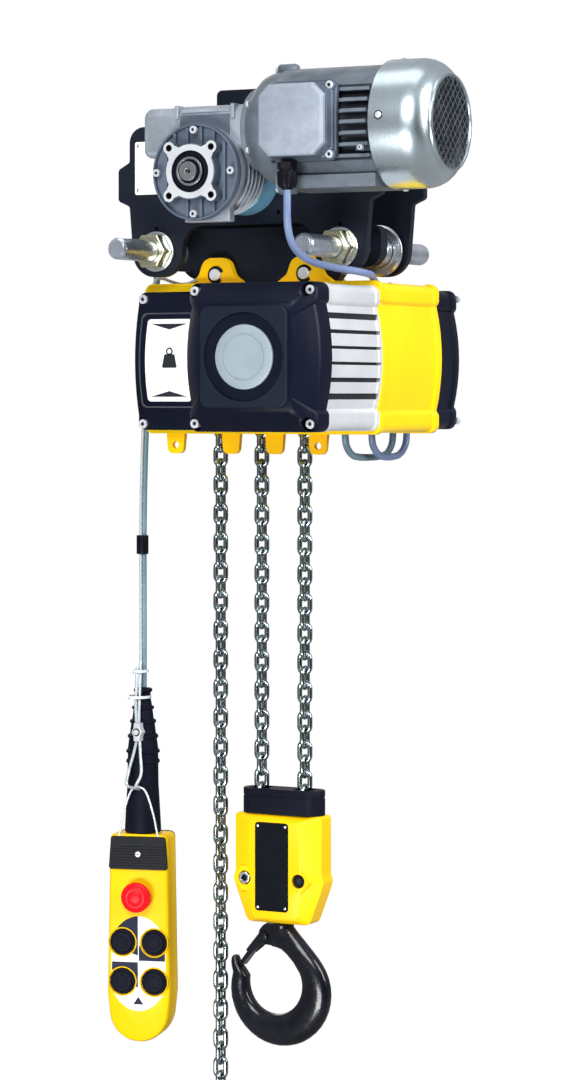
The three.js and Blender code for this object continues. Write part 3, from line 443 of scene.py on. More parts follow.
def mirrored(right, between=()):
    """A right half, whatever lies between, and the half's mirror image, as one list of corners."""
    return right + list(between) + [(-corner[0], *corner[1:]) for corner in reversed(right)]


def shrunk(outline, cu, cv, factor, factor_v=None):
    """An outline drawn in towards a centre, by its own factor along v if one is given."""
    across = factor if factor_v is None else factor_v
    return [(cu + (u - cu) * factor, cv + (v - cv) * across) for u, v in outline]


PLACE = {
    "X": lambda u, v, a: (a, u, v),
    "Y": lambda u, v, a: (u, a, v),
    "Z": lambda u, v, a: (u, v, a),
}


def skin(bm, rings, ends=True, loop=False):
    """Faces between rings of vertices; ends closes both ends, loop joins the last ring to the first."""
    following = rings[1:] + rings[:1] if loop else rings[1:]
    for first, second in zip(rings, following):
        for i in range(len(first)):
            j = (i + 1) % len(first)
            bm.faces.new((first[i], first[j], second[j], second[i]))
    if ends:
        bm.faces.new(rings[0])
        bm.faces.new(rings[-1])


def add_layers(bm, layers, axis="Y", hollow=False):
    """Skins a stack of outlines, given as (outline, distance along the axis)."""
    place = PLACE[axis]
    rings = [[bm.verts.new(place(u, v, at)) for u, v in outline] for outline, at in layers]
    skin(bm, rings, ends=not hollow, loop=hollow)


def add_prism(bm, outline, low, high, axis="Y"):
    """An outline drawn out straight along an axis."""
    add_layers(bm, [(outline, low), (outline, high)], axis)


def add_lathe(bm, profile, cu, cv, axis="Y", sides=64):
    """Revolves (radius, distance along the axis) about an axis through (cu, cv)."""
    layers = [(circle(cu, cv, max(r, 0.01), sides), at) for r, at in profile]
    add_layers(bm, layers, axis)


def add_box(bm, x0, x1, y0, y1, z0, z1):
    """A box between two values on each axis."""
    add_prism(bm, [(x0, z0), (x1, z0), (x1, z1), (x0, z1)], y0, y1)


def as_object(bm, name, material, turn=None, scale=MM):
    """Turns a bmesh into a linked object in metres."""
    bmesh.ops.recalc_face_normals(bm, faces=bm.faces)
    bm.transform(Matrix.Scale(scale, 4))
    if turn is not None:
        bm.transform(turn)
    mesh = bpy.data.meshes.new(name)
    bm.to_mesh(mesh)
    bm.free()
    mesh.materials.append(material)
    piece = bpy.data.objects.new(name, mesh)
    bpy.context.collection.objects.link(piece)
    return piece


def solid(name, material, build, turn=None):
    """An object made by one builder function."""
    bm = bmesh.new()
    build(bm)
    return as_object(bm, name, material, turn)


def use_modifiers(piece):
    """Writes a piece's modifiers into its mesh."""
    depsgraph = bpy.context.evaluated_depsgraph_get()
    mesh = bpy.data.meshes.new_from_object(piece.evaluated_get(depsgraph))
    piece.modifiers.clear()
    old = piece.data
    piece.data = mesh
    bpy.data.meshes.remove(old)


def carve(piece, shapes, operation="DIFFERENCE", material=None, turn=None):
    """Cuts a piece with shapes, or joins them to it; each shape is a builder function."""
    tools = [solid(f"tool_{number}", material, shape, turn) for number, shape in enumerate(shapes)]
    for tool in tools:
        step = piece.modifiers.new("cut", "BOOLEAN")
        step.operation = operation
        step.solver = "EXACT"
        step.material_mode = "TRANSFER"
        step.object = tool
        use_modifiers(piece)
        bpy.data.objects.remove(tool)


def soften(piece, width=0.8, segments=2, angle=32):
    """Small rounded edges and smooth shading between them."""
    mesh = piece.data
    for polygon in mesh.polygons:
        polygon.use_smooth = True
    if width:
        bevel = piece.modifiers.new("edges", "BEVEL")
        bevel.width = width * MM
        bevel.segments = segments
        bevel.limit_method = "ANGLE"
        bevel.angle_limit = math.radians(angle)
        bevel.use_clamp_overlap = True
        bevel.miter_outer = "MITER_ARC"
        bevel.harden_normals = True
    else:
        mesh.set_sharp_from_angle(angle=math.radians(angle))
    return piece


def attach(piece, body, replaces=()):
    """Fixes a piece to a body of the frame, in place of CAD nodes if any are named."""
    if replaces:
        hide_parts(*replaces)
    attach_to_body(piece, body)
    return piece


def part(name, material, body, build, replaces=(), bevel=0.8, cut=(), turn=None, segments=2, angle=32):
    """Makes one piece: build(bm) adds its solids, cut lists builders of what is taken away."""
    piece = solid(name, material, build, turn)
    carve(piece, cut, material=material, turn=turn)
    soften(piece, bevel, segments, angle)
    return attach(piece, body, replaces)


# the next five return builder functions: each makes its shape in the bmesh it is given

def layers_of(layers, axis="Y"):
    return lambda bm: add_layers(bm, layers, axis)


def ring_of(outer, inner, low, high, axis="Y"):
    """A flat frame between two outlines with the same number of points."""
    layers = [(outer, low), (outer, high), (inner, high), (inner, low)]
    return lambda bm: add_layers(bm, layers, axis, hollow=True)


def lathe_of(profile, cu, cv, axis="Y", sides=64):
    return lambda bm: add_lathe(bm, profile, cu, cv, axis, sides)


def prism_of(outline, low, high, axis="Y"):
    return lambda bm: add_prism(bm, outline, low, high, axis)


def box_of(*sides):
    return lambda bm: add_box(bm, *sides)


def cap_screw(name, u, v, face, body, radius=5.5, height=5, axis="Y", outward=-1, hex_r=2.6, material=SCREW):
    """A socket cap screw whose head stands outward from a face."""
    top = face + outward * height
    floor = top - outward * height * 0.3
    head = [(radius, face), (radius, top - outward * 0.6), (radius - 0.6, top), (hex_r + 0.6, top)]
    socket = lathe_of([(hex_r, top + outward), (hex_r, top - outward * height * 0.6)], u, v, axis, 6)
    bottom = lathe_of([(hex_r, floor), (hex_r, floor - outward * 0.8)], u, v, axis, 6)
    # A black hex at the socket's floor is painted shade.
    part(f"{name}_socket", INK_AND_SHADE_BLACK, body, bottom, bevel=0)
    part(name, material, body, lathe_of(head, u, v, axis, 28), bevel=0.25, cut=[socket])


# ---------- cords (routes in metres) ----------
CABLE_D = 0.010
WIRE_D = 0.0044
TRAVEL_ROUTE = [
    (0.151, -0.25, 0.0017), (0.151, -0.25, -0.015), (0.1505, -0.249, -0.032), (0.149, -0.243, -0.05),
    (0.148, -0.23, -0.067), (0.149, -0.21, -0.08), (0.152, -0.18, -0.089), (0.158, -0.145, -0.094),
    (0.165, -0.112, -0.097), (0.172, -0.085, -0.099), (0.175, -0.062, -0.101), (0.172, -0.038, -0.103),
    (0.165, -0.015, -0.109), (0.16, 0.01, -0.115), (0.155, 0.045, -0.118), (0.144, 0.09, -0.118),
    (0.127, 0.125, -0.1145), (0.112, 0.148, -0.1108), (0.107, 0.16, -0.1108), (0.1, 0.18, -0.1112),
    (0.095, 0.203, -0.1145), (0.094, 0.222, -0.122), (0.094, 0.235, -0.135), (0.094, 0.243, -0.152),
    (0.094, 0.244, -0.18), (0.094, 0.244, -0.25), (0.094, 0.244, -0.3253), (0.094, 0.241, -0.3363),
    (0.094, 0.231, -0.346), (0.094, 0.217, -0.3522), (0.094, 0.202, -0.3543), (0.094, 0.186, -0.355),
    (0.094, 0.17, -0.3546), (0.094, 0.154, -0.3522), (0.094, 0.14, -0.346), (0.094, 0.13, -0.3363),
    (0.094, 0.127, -0.3253), (0.094, 0.127, -0.3193),
]
PENDANT_ROUTE = [
    (0.072, 0.086, -0.3193), (0.072, 0.086, -0.3253), (0.072, 0.089, -0.3363), (0.072, 0.099, -0.346),
    (0.072, 0.113, -0.3522), (0.072, 0.13, -0.3543), (0.072, 0.165, -0.3553), (0.072, 0.2, -0.3543),
    (0.072, 0.217, -0.3522), (0.072, 0.231, -0.346), (0.072, 0.241, -0.3363), (0.072, 0.244, -0.3253),
    (0.072, 0.244, -0.25), (0.072, 0.244, -0.18), (0.072, 0.243, -0.152), (0.072, 0.235, -0.135),
    (0.071, 0.222, -0.122), (0.068, 0.203, -0.1145), (0.062, 0.182, -0.1112), (0.05, 0.15, -0.1108),
    (0.036, 0.132, -0.114), (0.014, 0.112, -0.118), (-0.015, 0.096, -0.1185), (-0.045, 0.087, -0.115),
    (-0.066, 0.074, -0.107), (-0.082, 0.061, -0.095), (-0.098, 0.05, -0.076), (-0.12, 0.042, -0.055),
    (-0.14, 0.037, -0.0435), (-0.157, 0.034, -0.0425), (-0.176, 0.032, -0.049), (-0.19, 0.031, -0.063),
    (-0.198, 0.03, -0.084), (-0.202, 0.03, -0.11), (-0.207, 0.029, -0.16), (-0.213, 0.028, -0.23),
    (-0.219, 0.028, -0.33), (-0.222, 0.028, -0.45), (-0.222, 0.028, -0.57), (-0.222, 0.028, -0.66),
    (-0.222, 0.028, -0.6849),
]
WIRE_ROUTE = [
    (-0.2153, 0.0029, -0.745), (-0.2165, 0.006, -0.712), (-0.2185, 0.012, -0.68), (-0.2215, 0.0196, -0.64),
    (-0.222, 0.0203, -0.56), (-0.222, 0.0203, -0.44), (-0.219, 0.0203, -0.33), (-0.213, 0.0203, -0.23),
    (-0.207, 0.0203, -0.16), (-0.201, 0.016, -0.12), (-0.188, 0.002, -0.104), (-0.168, -0.014, -0.101),
    (-0.148, -0.024, -0.106), (-0.13, -0.0275, -0.11), (-0.116, -0.0285, -0.109), (-0.104, -0.0287, -0.104),
]


def smooth_path(points, steps=6):
    """A centripetal Catmull-Rom curve through the points."""
    knots = [Vector(p) for p in points]
    knots = [2 * knots[0] - knots[1]] + knots + [2 * knots[-1] - knots[-2]]
    path = []
    for p0, p1, p2, p3 in zip(knots, knots[1:], knots[2:], knots[3:]):
        t1 = (p1 - p0).length ** 0.5
        t2 = t1 + (p2 - p1).length ** 0.5
        t3 = t2 + (p3 - p2).length ** 0.5
        for k in range(steps):
            t = t1 + (t2 - t1) * k / steps
            a1 = p0 * ((t1 - t) / t1) + p1 * (t / t1)
            a2 = p1 * ((t2 - t) / (t2 - t1)) + p2 * ((t - t1) / (t2 - t1))
            a3 = p2 * ((t3 - t) / (t3 - t2)) + p3 * ((t - t2) / (t3 - t2))
            b1 = a1 * ((t2 - t) / t2) + a2 * (t / t2)
            b2 = a2 * ((t3 - t) / (t3 - t1)) + a3 * ((t - t1) / (t3 - t1))
            path.append(b1 * ((t2 - t) / (t2 - t1)) + b2 * ((t - t1) / (t2 - t1)))
    path.append(knots[-2])
    return path


def sweep_mesh(name, path, radius, material, sides=16, radii=None):
    """A round mesh tube in metres along a path, with both ends closed."""
    bm = bmesh.new()
    rings = []
    side = None
    for i, point in enumerate(path):
        ahead = path[min(i + 1, len(path) - 1)] - path[max(i - 1, 0)]
        ahead.normalize()
        if side is None:
            side = ahead.orthogonal().normalized()
        side = (side - ahead * side.dot(ahead)).normalized()
        up = ahead.cross(side)
        r = radii[i] if radii else radius
        offsets = circle(0, 0, r, sides)
        rings.append([bm.verts.new(point + side * u + up * v) for u, v in offsets])
    skin(bm, rings)
    return soften(as_object(bm, name, material, scale=1), 0, angle=40)


def add_cords():
    """The two cables and the strain wire that carries the pendant's weight."""
    cords = [
        ("travel_cable_sheath", TRAVEL_ROUTE, CABLE_D, TRAVEL_CABLE, "travel_cable", 18, "loose"),
        ("pendant_cable_sheath", PENDANT_ROUTE, CABLE_D, CABLE, "pendant_cable", 18, "hanging"),
        ("strain_wire_strand", WIRE_ROUTE, WIRE_D, WIRE, "strain_wire", 10, "hanging"),
    ]
    for name, route, diameter, material, node, sides, lay in cords:
        path = smooth_path(route)
        piece = sweep_mesh(name, path, diameter / 2, material, sides)
        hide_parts(node)
        if lay == "hanging":
            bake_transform(piece)
        else:
            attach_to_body(piece, "trolley")


# ---------- trolley ----------
PLATE_IN = 62
PLATE_OUT = 74
PLATE_HOLES = [(-144, -34.5), (141, -34.5), (47.5, -15.5)]
CORNERS = [(-1, -1), (-1, 1), (1, -1), (1, 1)]


def plate_outline():
    """A side plate, with a step at each end and a lobe round each crossbar."""
    lobe = BAR_Z - 35.5
    right = [(187, 109, 22), (187, 60, 4), (205, 50, 6), (205, 6, 6), (187, -2, 5), (179, lobe, 35),
             (105, lobe, 35), (99, -31, 28)]
    return rounded(mirrored(right), 12)


def side_plates():
    """The two plates, the rear one with stubs for its wheels and with the counterweight."""
    for side, body, sign in (("front", "trolley", -1), ("rear", "rear_carriage", 1)):
        def plate(bm, sign=sign):
            add_prism(bm, plate_outline(), sign * PLATE_IN, sign * PLATE_OUT)
            if sign > 0:
                for x in (-WHEEL_X, WHEEL_X):
                    add_lathe(bm, [(10, 20), (10, PLATE_IN + 2)], x, AXIS_Z, sides=32)
        drill = [(2.6, sign * (PLATE_IN - 2)), (2.6, sign * (PLATE_OUT + 2))]
        holes = [lathe_of(drill, x, z, sides=20) for x, z in PLATE_HOLES]
        part(f"plate_{side}", BLACK_STEEL, body, plate, [f"side_plate_{side}"], 1.4, holes)
    weight = rounded_box(-128, 106, 120, 171, 8)
    part("counterweight", BLACK_STEEL, "rear_carriage", prism_of(weight, PLATE_OUT + 0.4, 108), bevel=1.6)
    for x in (-100, 0, 92):
        cap_screw(f"counterweight_screw_{x}", x, 140, 108, "rear_carriage", 8, 8, outward=1, hex_r=4)


def crossbars():
    """Two threaded bars with everything that sits on them."""
    half = BAR_HALF
    profile = [(11.5, -half), (14.4, -half + 2.8), (15, -half + 3.6), (15, half - 3.6), (14.4, half - 2.8),
               (11.5, half)]
    for side, x in (("left", -BAR_X), ("right", BAR_X)):
        part(f"bar_{side}", THREAD, "trolley", lathe_of(profile, x, BAR_Z), [f"crossbar_{side}"], 0.3)
        outer_nut(f"front_{side}", "trolley", x, -1)
        outer_nut(f"rear_{side}", "rear_carriage", x, 1)
        inner_stack(side, x)


def outer_nut(place, body, x, sign):
    """A nut and its washer outside a side plate."""
    face = sign * (PLATE_OUT + 0.3)
    hexagon = circle(x, BAR_Z, 26, 6)
    small = shrunk(hexagon, x, BAR_Z, 0.93)
    layers = [(small, face + sign * 5), (hexagon, face + sign * 6.6), (hexagon, face + sign * 22.2),
              (small, face + sign * 24)]
    bore = lathe_of([(15.4, face - 40), (15.4, face + 40)], x, BAR_Z)
    part(f"nut_{place}_hex", YELLOW_ZINC, body, layers_of(layers), [f"nut_{place}"], 0.9, [bore], segments=3)
    washer = [(27.6, face), (28, face + sign * 0.6), (28, face + sign * 4), (27.4, face + sign * 4.7)]
    part(f"washer_{place}", ZINC, body, lathe_of(washer, x, BAR_Z), bevel=0.3, cut=[bore])


def inner_stack(side, x):
    """Discs, lock nuts and the spacer between the plates; the rear disc slides with the rear plate."""
    bore = lathe_of([(15.4, -70), (15.4, 70)], x, BAR_Z)
    front_disc = [(35, -61.7), (36, -61), (36, -56.6), (35, -56)]
    look = AMBER_AND_SHADE_YELLOW if side == "left" else ZINC
    part(f"inner_disc_front_{side}", look, "trolley", lathe_of(front_disc, x, BAR_Z), bevel=0.4, cut=[bore])
    lock = circle(x, BAR_Z, 25, 6, 30)
    part(f"lock_nut_front_{side}", ZINC, "trolley", prism_of(lock, -55.6, -40), bevel=1.2, cut=[bore])
    part(f"lock_nut_middle_{side}", ZINC, "trolley", prism_of(lock, 10.6, 27), bevel=1.2, cut=[bore])
    disc = [(17.6, 52.8), (18, 53.2), (18, 54.6), (17.6, 55)]
    hub = [(16.9, 27.4), (17.2, 28), (17.2, 36), (16.9, 36.6)]
    sliding = bore
    if side == "right":
        disc = [(33, 45), (36, 47), (36, 50), (34, 51.4), (34, 55)]
        hub = [(21, 27.4), (23, 29), (23, 44.6), (21, 44.8)]
        sliding = lathe_of([(23.6, 40), (23.6, 60)], x, BAR_Z)
    part(f"inner_disc_rear_{side}", ZINC, "rear_carriage", lathe_of(disc, x, BAR_Z), bevel=0.5, cut=[sliding])
    part(f"spacer_{side}", ZINC, "trolley", lathe_of(hub, x, BAR_Z), bevel=0.5, cut=[bore])


def suspension():
    """The black beam between the plates, and the pins with a retaining ring at each end."""
    outline = rounded([(-174, -33, 14), (174, -33, 14), (174, -90, 26), (118, -92, 12), (100, -115, 10),
                       (-106, -115, 10), (-122, -92, 12), (-174, -90, 26)], 10)
    holes = [lathe_of([(15.3, -12), (15.3, 12)], x, BAR_Z) for x in (-BAR_X, BAR_X)]
    part("suspension_beam", BLACK_STEEL, "trolley", prism_of(outline, -10, 10), ["suspension_plate"], 1.2,
         holes)
    pin = [(7.4, -32), (8.3, -31), (8.3, 31), (7.4, 32)]
    for side, x in zip(("left", "right"), PIN_XS):
        part(f"pin_{side}", SCREW, "trolley", lathe_of(pin, x, PIN_Z), [f"suspension_pin_{side}"], 0.3)
        for end, y, gap in (("front", -28.2, 20), ("rear", 26.5, 160)):
            ring = prism_of(sector(x, PIN_Z, 8.5, 12.2, gap, gap + 300, 30), y, y + 1.7)
            part(f"retaining_ring_{end}_{side}", BLACK_PLASTIC, "trolley", ring, bevel=0.3)


def gear_outline(teeth, module, u, v, turn=0.0, backlash=0.1):
    """Teeth with bulging flanks about the pitch circle."""
    pitch = module * teeth / 2
    tip = pitch + module
    root = pitch - module * 1.2
    step = 2 * math.pi / teeth
    shape = [(root, -0.36), (pitch - module * 0.4, -0.27), (pitch, -0.245), (tip, -0.12), (tip, 0.12),
             (pitch, 0.245), (pitch - module * 0.4, 0.27), (root, 0.36)]
    points = []
    for i in range(teeth):
        for r, at in shape:
            angle = turn + step * (i + at * (1 - backlash))
            points.append((u + r * math.cos(angle), v + r * math.sin(angle)))
    return points


def wheels():
    """Two geared wheels in front and two plain ones behind."""
    profile = [(22, 21), (26, 21), (28, 22.5), (30, 22), (31.5, 24), (31.5, 43), (33, 45.2), (36.5, 46),
               (38, 48), (38, 60), (22, 60)]
    for end, sign in (("front", -1), ("rear", 1)):
        for side, x in (("left", -WHEEL_X), ("right", WHEEL_X)):
            def roll(bm, sign=sign, x=x):
                add_lathe(bm, [(r, sign * a) for r, a in profile], x, AXIS_Z, sides=72)
                if sign < 0:
                    turn = 0 if x < 0 else math.pi / 44
                    add_prism(bm, gear_outline(44, 2, x, AXIS_Z, turn), -60, -50)
            bore = lathe_of([(10.4, sign * 15), (10.4, sign * 61.5)], x, AXIS_Z, sides=40)
            part(f"roller_{end}_{side}", STEEL, f"{end}_wheel_{side}", roll, [f"wheel_{end}_{side}"], 0.35,
                 [bore])


def maker_plate():
    """A blank plate with four rivets."""
    plate = rounded_box(-177, 14, -77, 88, 3)
    part("blank_plate", LABEL_WHITE, "trolley", prism_of(plate, -75.2, -74.2), bevel=0.2)
    rivet = [(2.9, -75), (2.7, -76.2), (1.2, -77)]
    for x in (-171, -83):
        for z in (20, 82):
            part(f"plate_rivet_{x}_{z}", ZINC, "trolley", lathe_of(rivet, x, z, sides=20), bevel=0.1)


# ---------- travel drive ----------

def gearbox():
    """The worm gearbox: its cast shell, panel, drum with cooling ribs, spacer disc and cover."""
    worm_side = rounded([(WORM_Y - 34, WORM_Z - 34, 9), (WORM_Y + 34, WORM_Z - 34, 9),
                         (WORM_Y + 34, WORM_Z + 33, 10), (WORM_Y - 34, WORM_Z + 33, 14)])
    neck = rounded([(WORM_Y - 36, WORM_Z - 30, 12), (WORM_Y + 34, WORM_Z - 30, 12),
                    (WORM_Y + 34, WORM_Z + 34, 12), (WORM_Y - 36, WORM_Z + 34, 16)])
    ridge = rounded([(-50, WORM_Z + 20, 4), (20, WORM_Z + 20, 4), (20, WORM_Z + 35, 2),
                     (-50, WORM_Z + 35, 2)])

    def shell(bm):
        add_layers(bm, [(shrunk(worm_side, WORM_Y, WORM_Z, 0.9), -92), (worm_side, -86), (worm_side, 22)],
                   "X")
        add_prism(bm, neck, 21, 62, "X")
        add_box(bm, -26, 42, -206, -190, AXIS_Z - 66, AXIS_Z - 30)
        add_prism(bm, ridge, WORM_Y - 12, WORM_Y + 12)
        add_box(bm, -42, -36, WORM_Y - 38, WORM_Y - 20, WORM_Z + 16, WORM_Z + 34.5)
        add_box(bm, 44, 50, WORM_Y - 40, WORM_Y - 20, WORM_Z + 14, WORM_Z + 34.5)
        add_box(bm, -33, 42, WORM_Y - 36.5, WORM_Y - 30, WORM_Z + 24, WORM_Z + 29)
        add_lathe(bm, [(63.5, -214), (64.5, -212), (64.5, -200), (60, -198)], 0, AXIS_Z)
    part("gearbox_shell", CAST_ALU, "trolley", shell, ["gearbox_housing"], 1.6, segments=3)

    panel = box_of(-34, 42, WORM_Y - 36.6, WORM_Y - 33, WORM_Z - 8, WORM_Z + 21)
    part("gearbox_panel", GREY_CAST, "trolley", panel, bevel=0.5)
    # The drum between the ribs is painted near black as shade.
    core = [(45, -206), (42, -160), (39, -118), (38, -101)]
    part("gearbox_drum", GAP_SHADE_BLACK, "trolley", lathe_of(core, 0, AXIS_Z, sides=80), bevel=0)

    def ribs(bm):
        for i in range(6):
            y = -199 + i * 14
            r = 62.5 - i * 1.8
            add_lathe(bm, [(r - 18, y + 1), (r - 0.8, y + 1.8), (r, y + 2.2), (r, y + 3.4),
                           (r - 0.8, y + 3.8), (r - 18, y + 4.6)], 0, AXIS_Z, sides=80)
    part("gearbox_fins", CAST_ALU, "trolley", ribs, bevel=0)
    disc = [(44, -119), (51, -117.5), (51, -78), (49, -75.5), (40, -74.5)]
    part("spacer_disc", BLUE_ZINC, "trolley", lathe_of(disc, 0, AXIS_Z, sides=80), bevel=0.6)
    gearbox_cover()
    finish_cad("worm_wheel", BRONZE)
    finish_cad("worm_shaft", STEEL)


def finish_cad(node, material):
    """A piece that only shows when the object is opened keeps its CAD shape."""
    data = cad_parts[node].data
    data.materials.clear()
    data.materials.append(material)


def face_only(piece, material, front):
    """Gives the faces that lie further forward than front, and look forward, their own material."""
    piece.data.materials.append(material)
    for polygon in piece.data.polygons:
        if polygon.normal.y < -0.9 and polygon.center.y < front:
            polygon.material_index = len(piece.data.materials) - 1


def gearbox_cover():
    """The ribbed cover disc with its flange, seal, screws and the end of the shaft."""
    rim = [(62.5, -214.3), (65, -215), (65, -223.5), (63.6, -226), (61.6, -226), (60.8, -219.5),
           (0.01, -219.5)]
    bosses = [(angle, on_circle(0, AXIS_Z, 56, angle)) for angle in (0, 90, 180, 270)]

    def cover(bm):
        add_lathe(bm, rim, 0, AXIS_Z, sides=96)
        for x in (-31, -12, 9, 28):
            reach = math.sqrt(61 ** 2 - x ** 2)
            add_box(bm, x - 2.1, x + 2.1, -225.6, -219, AXIS_Z - reach, AXIS_Z - 30)
            add_box(bm, x - 2.1, x + 2.1, -225.6, -219, AXIS_Z + 30, AXIS_Z + reach)
        for x in (-44, 44):
            add_box(bm, x - 2.1, x + 2.1, -225.6, -219, AXIS_Z - 39, AXIS_Z + 39)
        for _, (u, v) in bosses:
            add_lathe(bm, [(7.5, -216), (7.5, -226.4)], u, v, sides=28)
    part("cover_disc", GREY_CAST, "trolley", cover, ["gearbox_cover"], 0.7,
         cut=[lathe_of([(20.4, -240), (20.4, -200)], 0, AXIS_Z)])
    cover_flange()
    seal = [(27.9, -234.2), (27.9, -236.6), (26.5, -237), (25.5, -235.6), (21.5, -235.6), (20.3, -236.4),
            (20.3, -234)]
    bore = lathe_of([(20.1, -240), (20.1, -220)], 0, AXIS_Z)
    part("shaft_seal", RUBBER, "trolley", lathe_of(seal, 0, AXIS_Z, sides=80), bevel=0.2, cut=[bore])
    for angle, (u, v) in bosses:
        cap_screw(f"cover_screw_{angle}", u, v, -226.4, "trolley", 5.2, 5, hex_r=2.4)
    output_shaft()


def cover_flange():
    """A round flange with four ears, machined bright on its front."""
    ears = [(31.8 * sx, AXIS_Z + 31.8 * sz) for sx, sz in CORNERS]
    disc = [(37.4, -222), (37.4, -237.6), (36, -239)]
    flange = solid("cover_flange", GREY_CAST, lathe_of(disc, 0, AXIS_Z, sides=96))
    for u, v in ears:
        along = Vector((u, v - AXIS_Z)).normalized()
        side = Vector((-along.y, along.x))
        web = [along * 34 + side * 11, along * 43 + side * 7.4, along * 43 - side * 7.4,
               along * 34 - side * 11]
        lugs = [lathe_of([(8.2, -222.4), (8.2, -239)], u, v, sides=32),
                prism_of([(p.x, p.y + AXIS_Z) for p in web], -222.2, -238.99)]
        carve(flange, lugs, "UNION", GREY_CAST)
    # The walls of the ears' screw holes are painted dark as shade.
    carve(flange, [lathe_of([(4.6, -241), (4.6, -226)], u, v, sides=24) for u, v in ears], material=GAP_SHADE_BLACK)
    bore = [(28, -241), (28, -234), (20.4, -233.9), (20.4, -215)]
    carve(flange, [lathe_of(bore, 0, AXIS_Z, sides=80)], material=GREY_CAST)
    face_only(flange, MACHINED_ALU, -0.2385)
    soften(flange, 0.4)
    attach(flange, "trolley")


def output_shaft():
    """The output shaft with its pinion, the hollow shaft round its end and the circlip."""
    end = [(0.01, -48), (12.8, -48), (13.3, -49), (13.3, -236), (13.3, -244), (12.6, -246), (4.4, -246),
           (3.2, -244.5), (3.2, -240), (0.01, -240)]
    hollow = [(19.6, -236), (19.9, -240), (19.2, -241.5), (16.4, -241.5), (15.8, -240), (15.8, -236)]

    def spindle(bm):
        add_lathe(bm, end, 0, AXIS_Z)
        add_prism(bm, gear_outline(22, 2, 0, AXIS_Z, math.pi / 11), -60, -50)
    part("output_spindle", STEEL, "drive_shaft", spindle, ["output_shaft"], 0.3)
    part("hollow_shaft_end", STEEL, "drive_shaft", lathe_of(hollow, 0, AXIS_Z), bevel=0.3,
         cut=[lathe_of([(15.9, -245), (15.9, -230)], 0, AXIS_Z)])
    clip = sector(0, AXIS_Z, 13.6, 15.6, -60, 250, 36)
    part("shaft_circlip", BLACK_PLASTIC, "drive_shaft", prism_of(clip, -243, -241.5), bevel=0.2)


FIN_STEP = 14.5
FIN_HALF = 2.2


def travel_motor():
    """The finned motor housing with its core, painted dark as shade between the fins, and its screws, then
    its box and fan.
    """
    y, z = WORM_Y, WORM_Z
    shield = [(30, 66.4), (54, 66.4), (55, 67.5), (55, 74), (60, 79), (66, 84), (72, 91), (75, 99), (76, 106),
              (76, 116), (74, 117.5)]
    lugs = [(angle, on_circle(y, z, 79, angle)) for angle in (0, 90, 270)]

    def body(bm):
        add_lathe(bm, shield, y, z, "X", 80)
        for start in (39, 219):
            add_prism(bm, sector(y, z, 60, 79, start, start + 102), 118.4, 264, "X")
        for i in range(-3, 4):
            level = i * FIN_STEP
            half = math.sqrt(78.5 ** 2 - level ** 2)
            add_box(bm, 118, 262, y - half, y + half, z + level - FIN_HALF, z + level + FIN_HALF)
        for _, (u, v) in lugs:
            add_lathe(bm, [(7.5, 99), (8, 100), (8, 122), (6, 126)], u, v, "X", 28)
        add_box(bm, 118.4, 264, y - 52, y + 52, z - 83, z - 66)
        add_box(bm, 248, 259, y - 76, y - 50, z - 38, z - 29)
    # The core between the fins is painted near black as shade.
    core = [(40, 112), (64.5, 113), (64.5, 261), (55, 263)]
    part("motor_core", GAP_SHADE_BLACK, "trolley", lathe_of(core, y, z, "X", 80), bevel=0)
    flat = box_of(108, 226, y - 90, -236.4, z - 62, z + 62)
    part("motor_body", MOTOR_ALU, "trolley", body, ["travel_motor_housing"], 0.7, [flat])
    for angle, (u, v) in lugs:
        cap_screw(f"shield_screw_{angle}", u, v, 99, "trolley", 5.2, 5, "X", -1, 2.4)
    for i, angle in enumerate((150, 210, 90, 30, 330)):
        u, v = on_circle(y, z, 61, angle)
        cap_screw(f"flange_screw_{i}", u, v, 80, "trolley", 4.2, 4, "X", -1, 2)
    cap_screw("earth_screw", 254, z - 34, y - 76, "trolley", 3.4, 2.5, hex_r=1.6)
    finish_cad("travel_rotor", STEEL)
    terminal_box()
    fan_end()


def octagon(cx, cz, half, corner):
    """A square with its corners cut off."""
    short = half - corner
    right = [(short, -half, 2), (half, -short, 2), (half, short, 2), (short, half, 2)]
    return [(cx + u, cz + v) for u, v in rounded(mirrored(right), 3)]


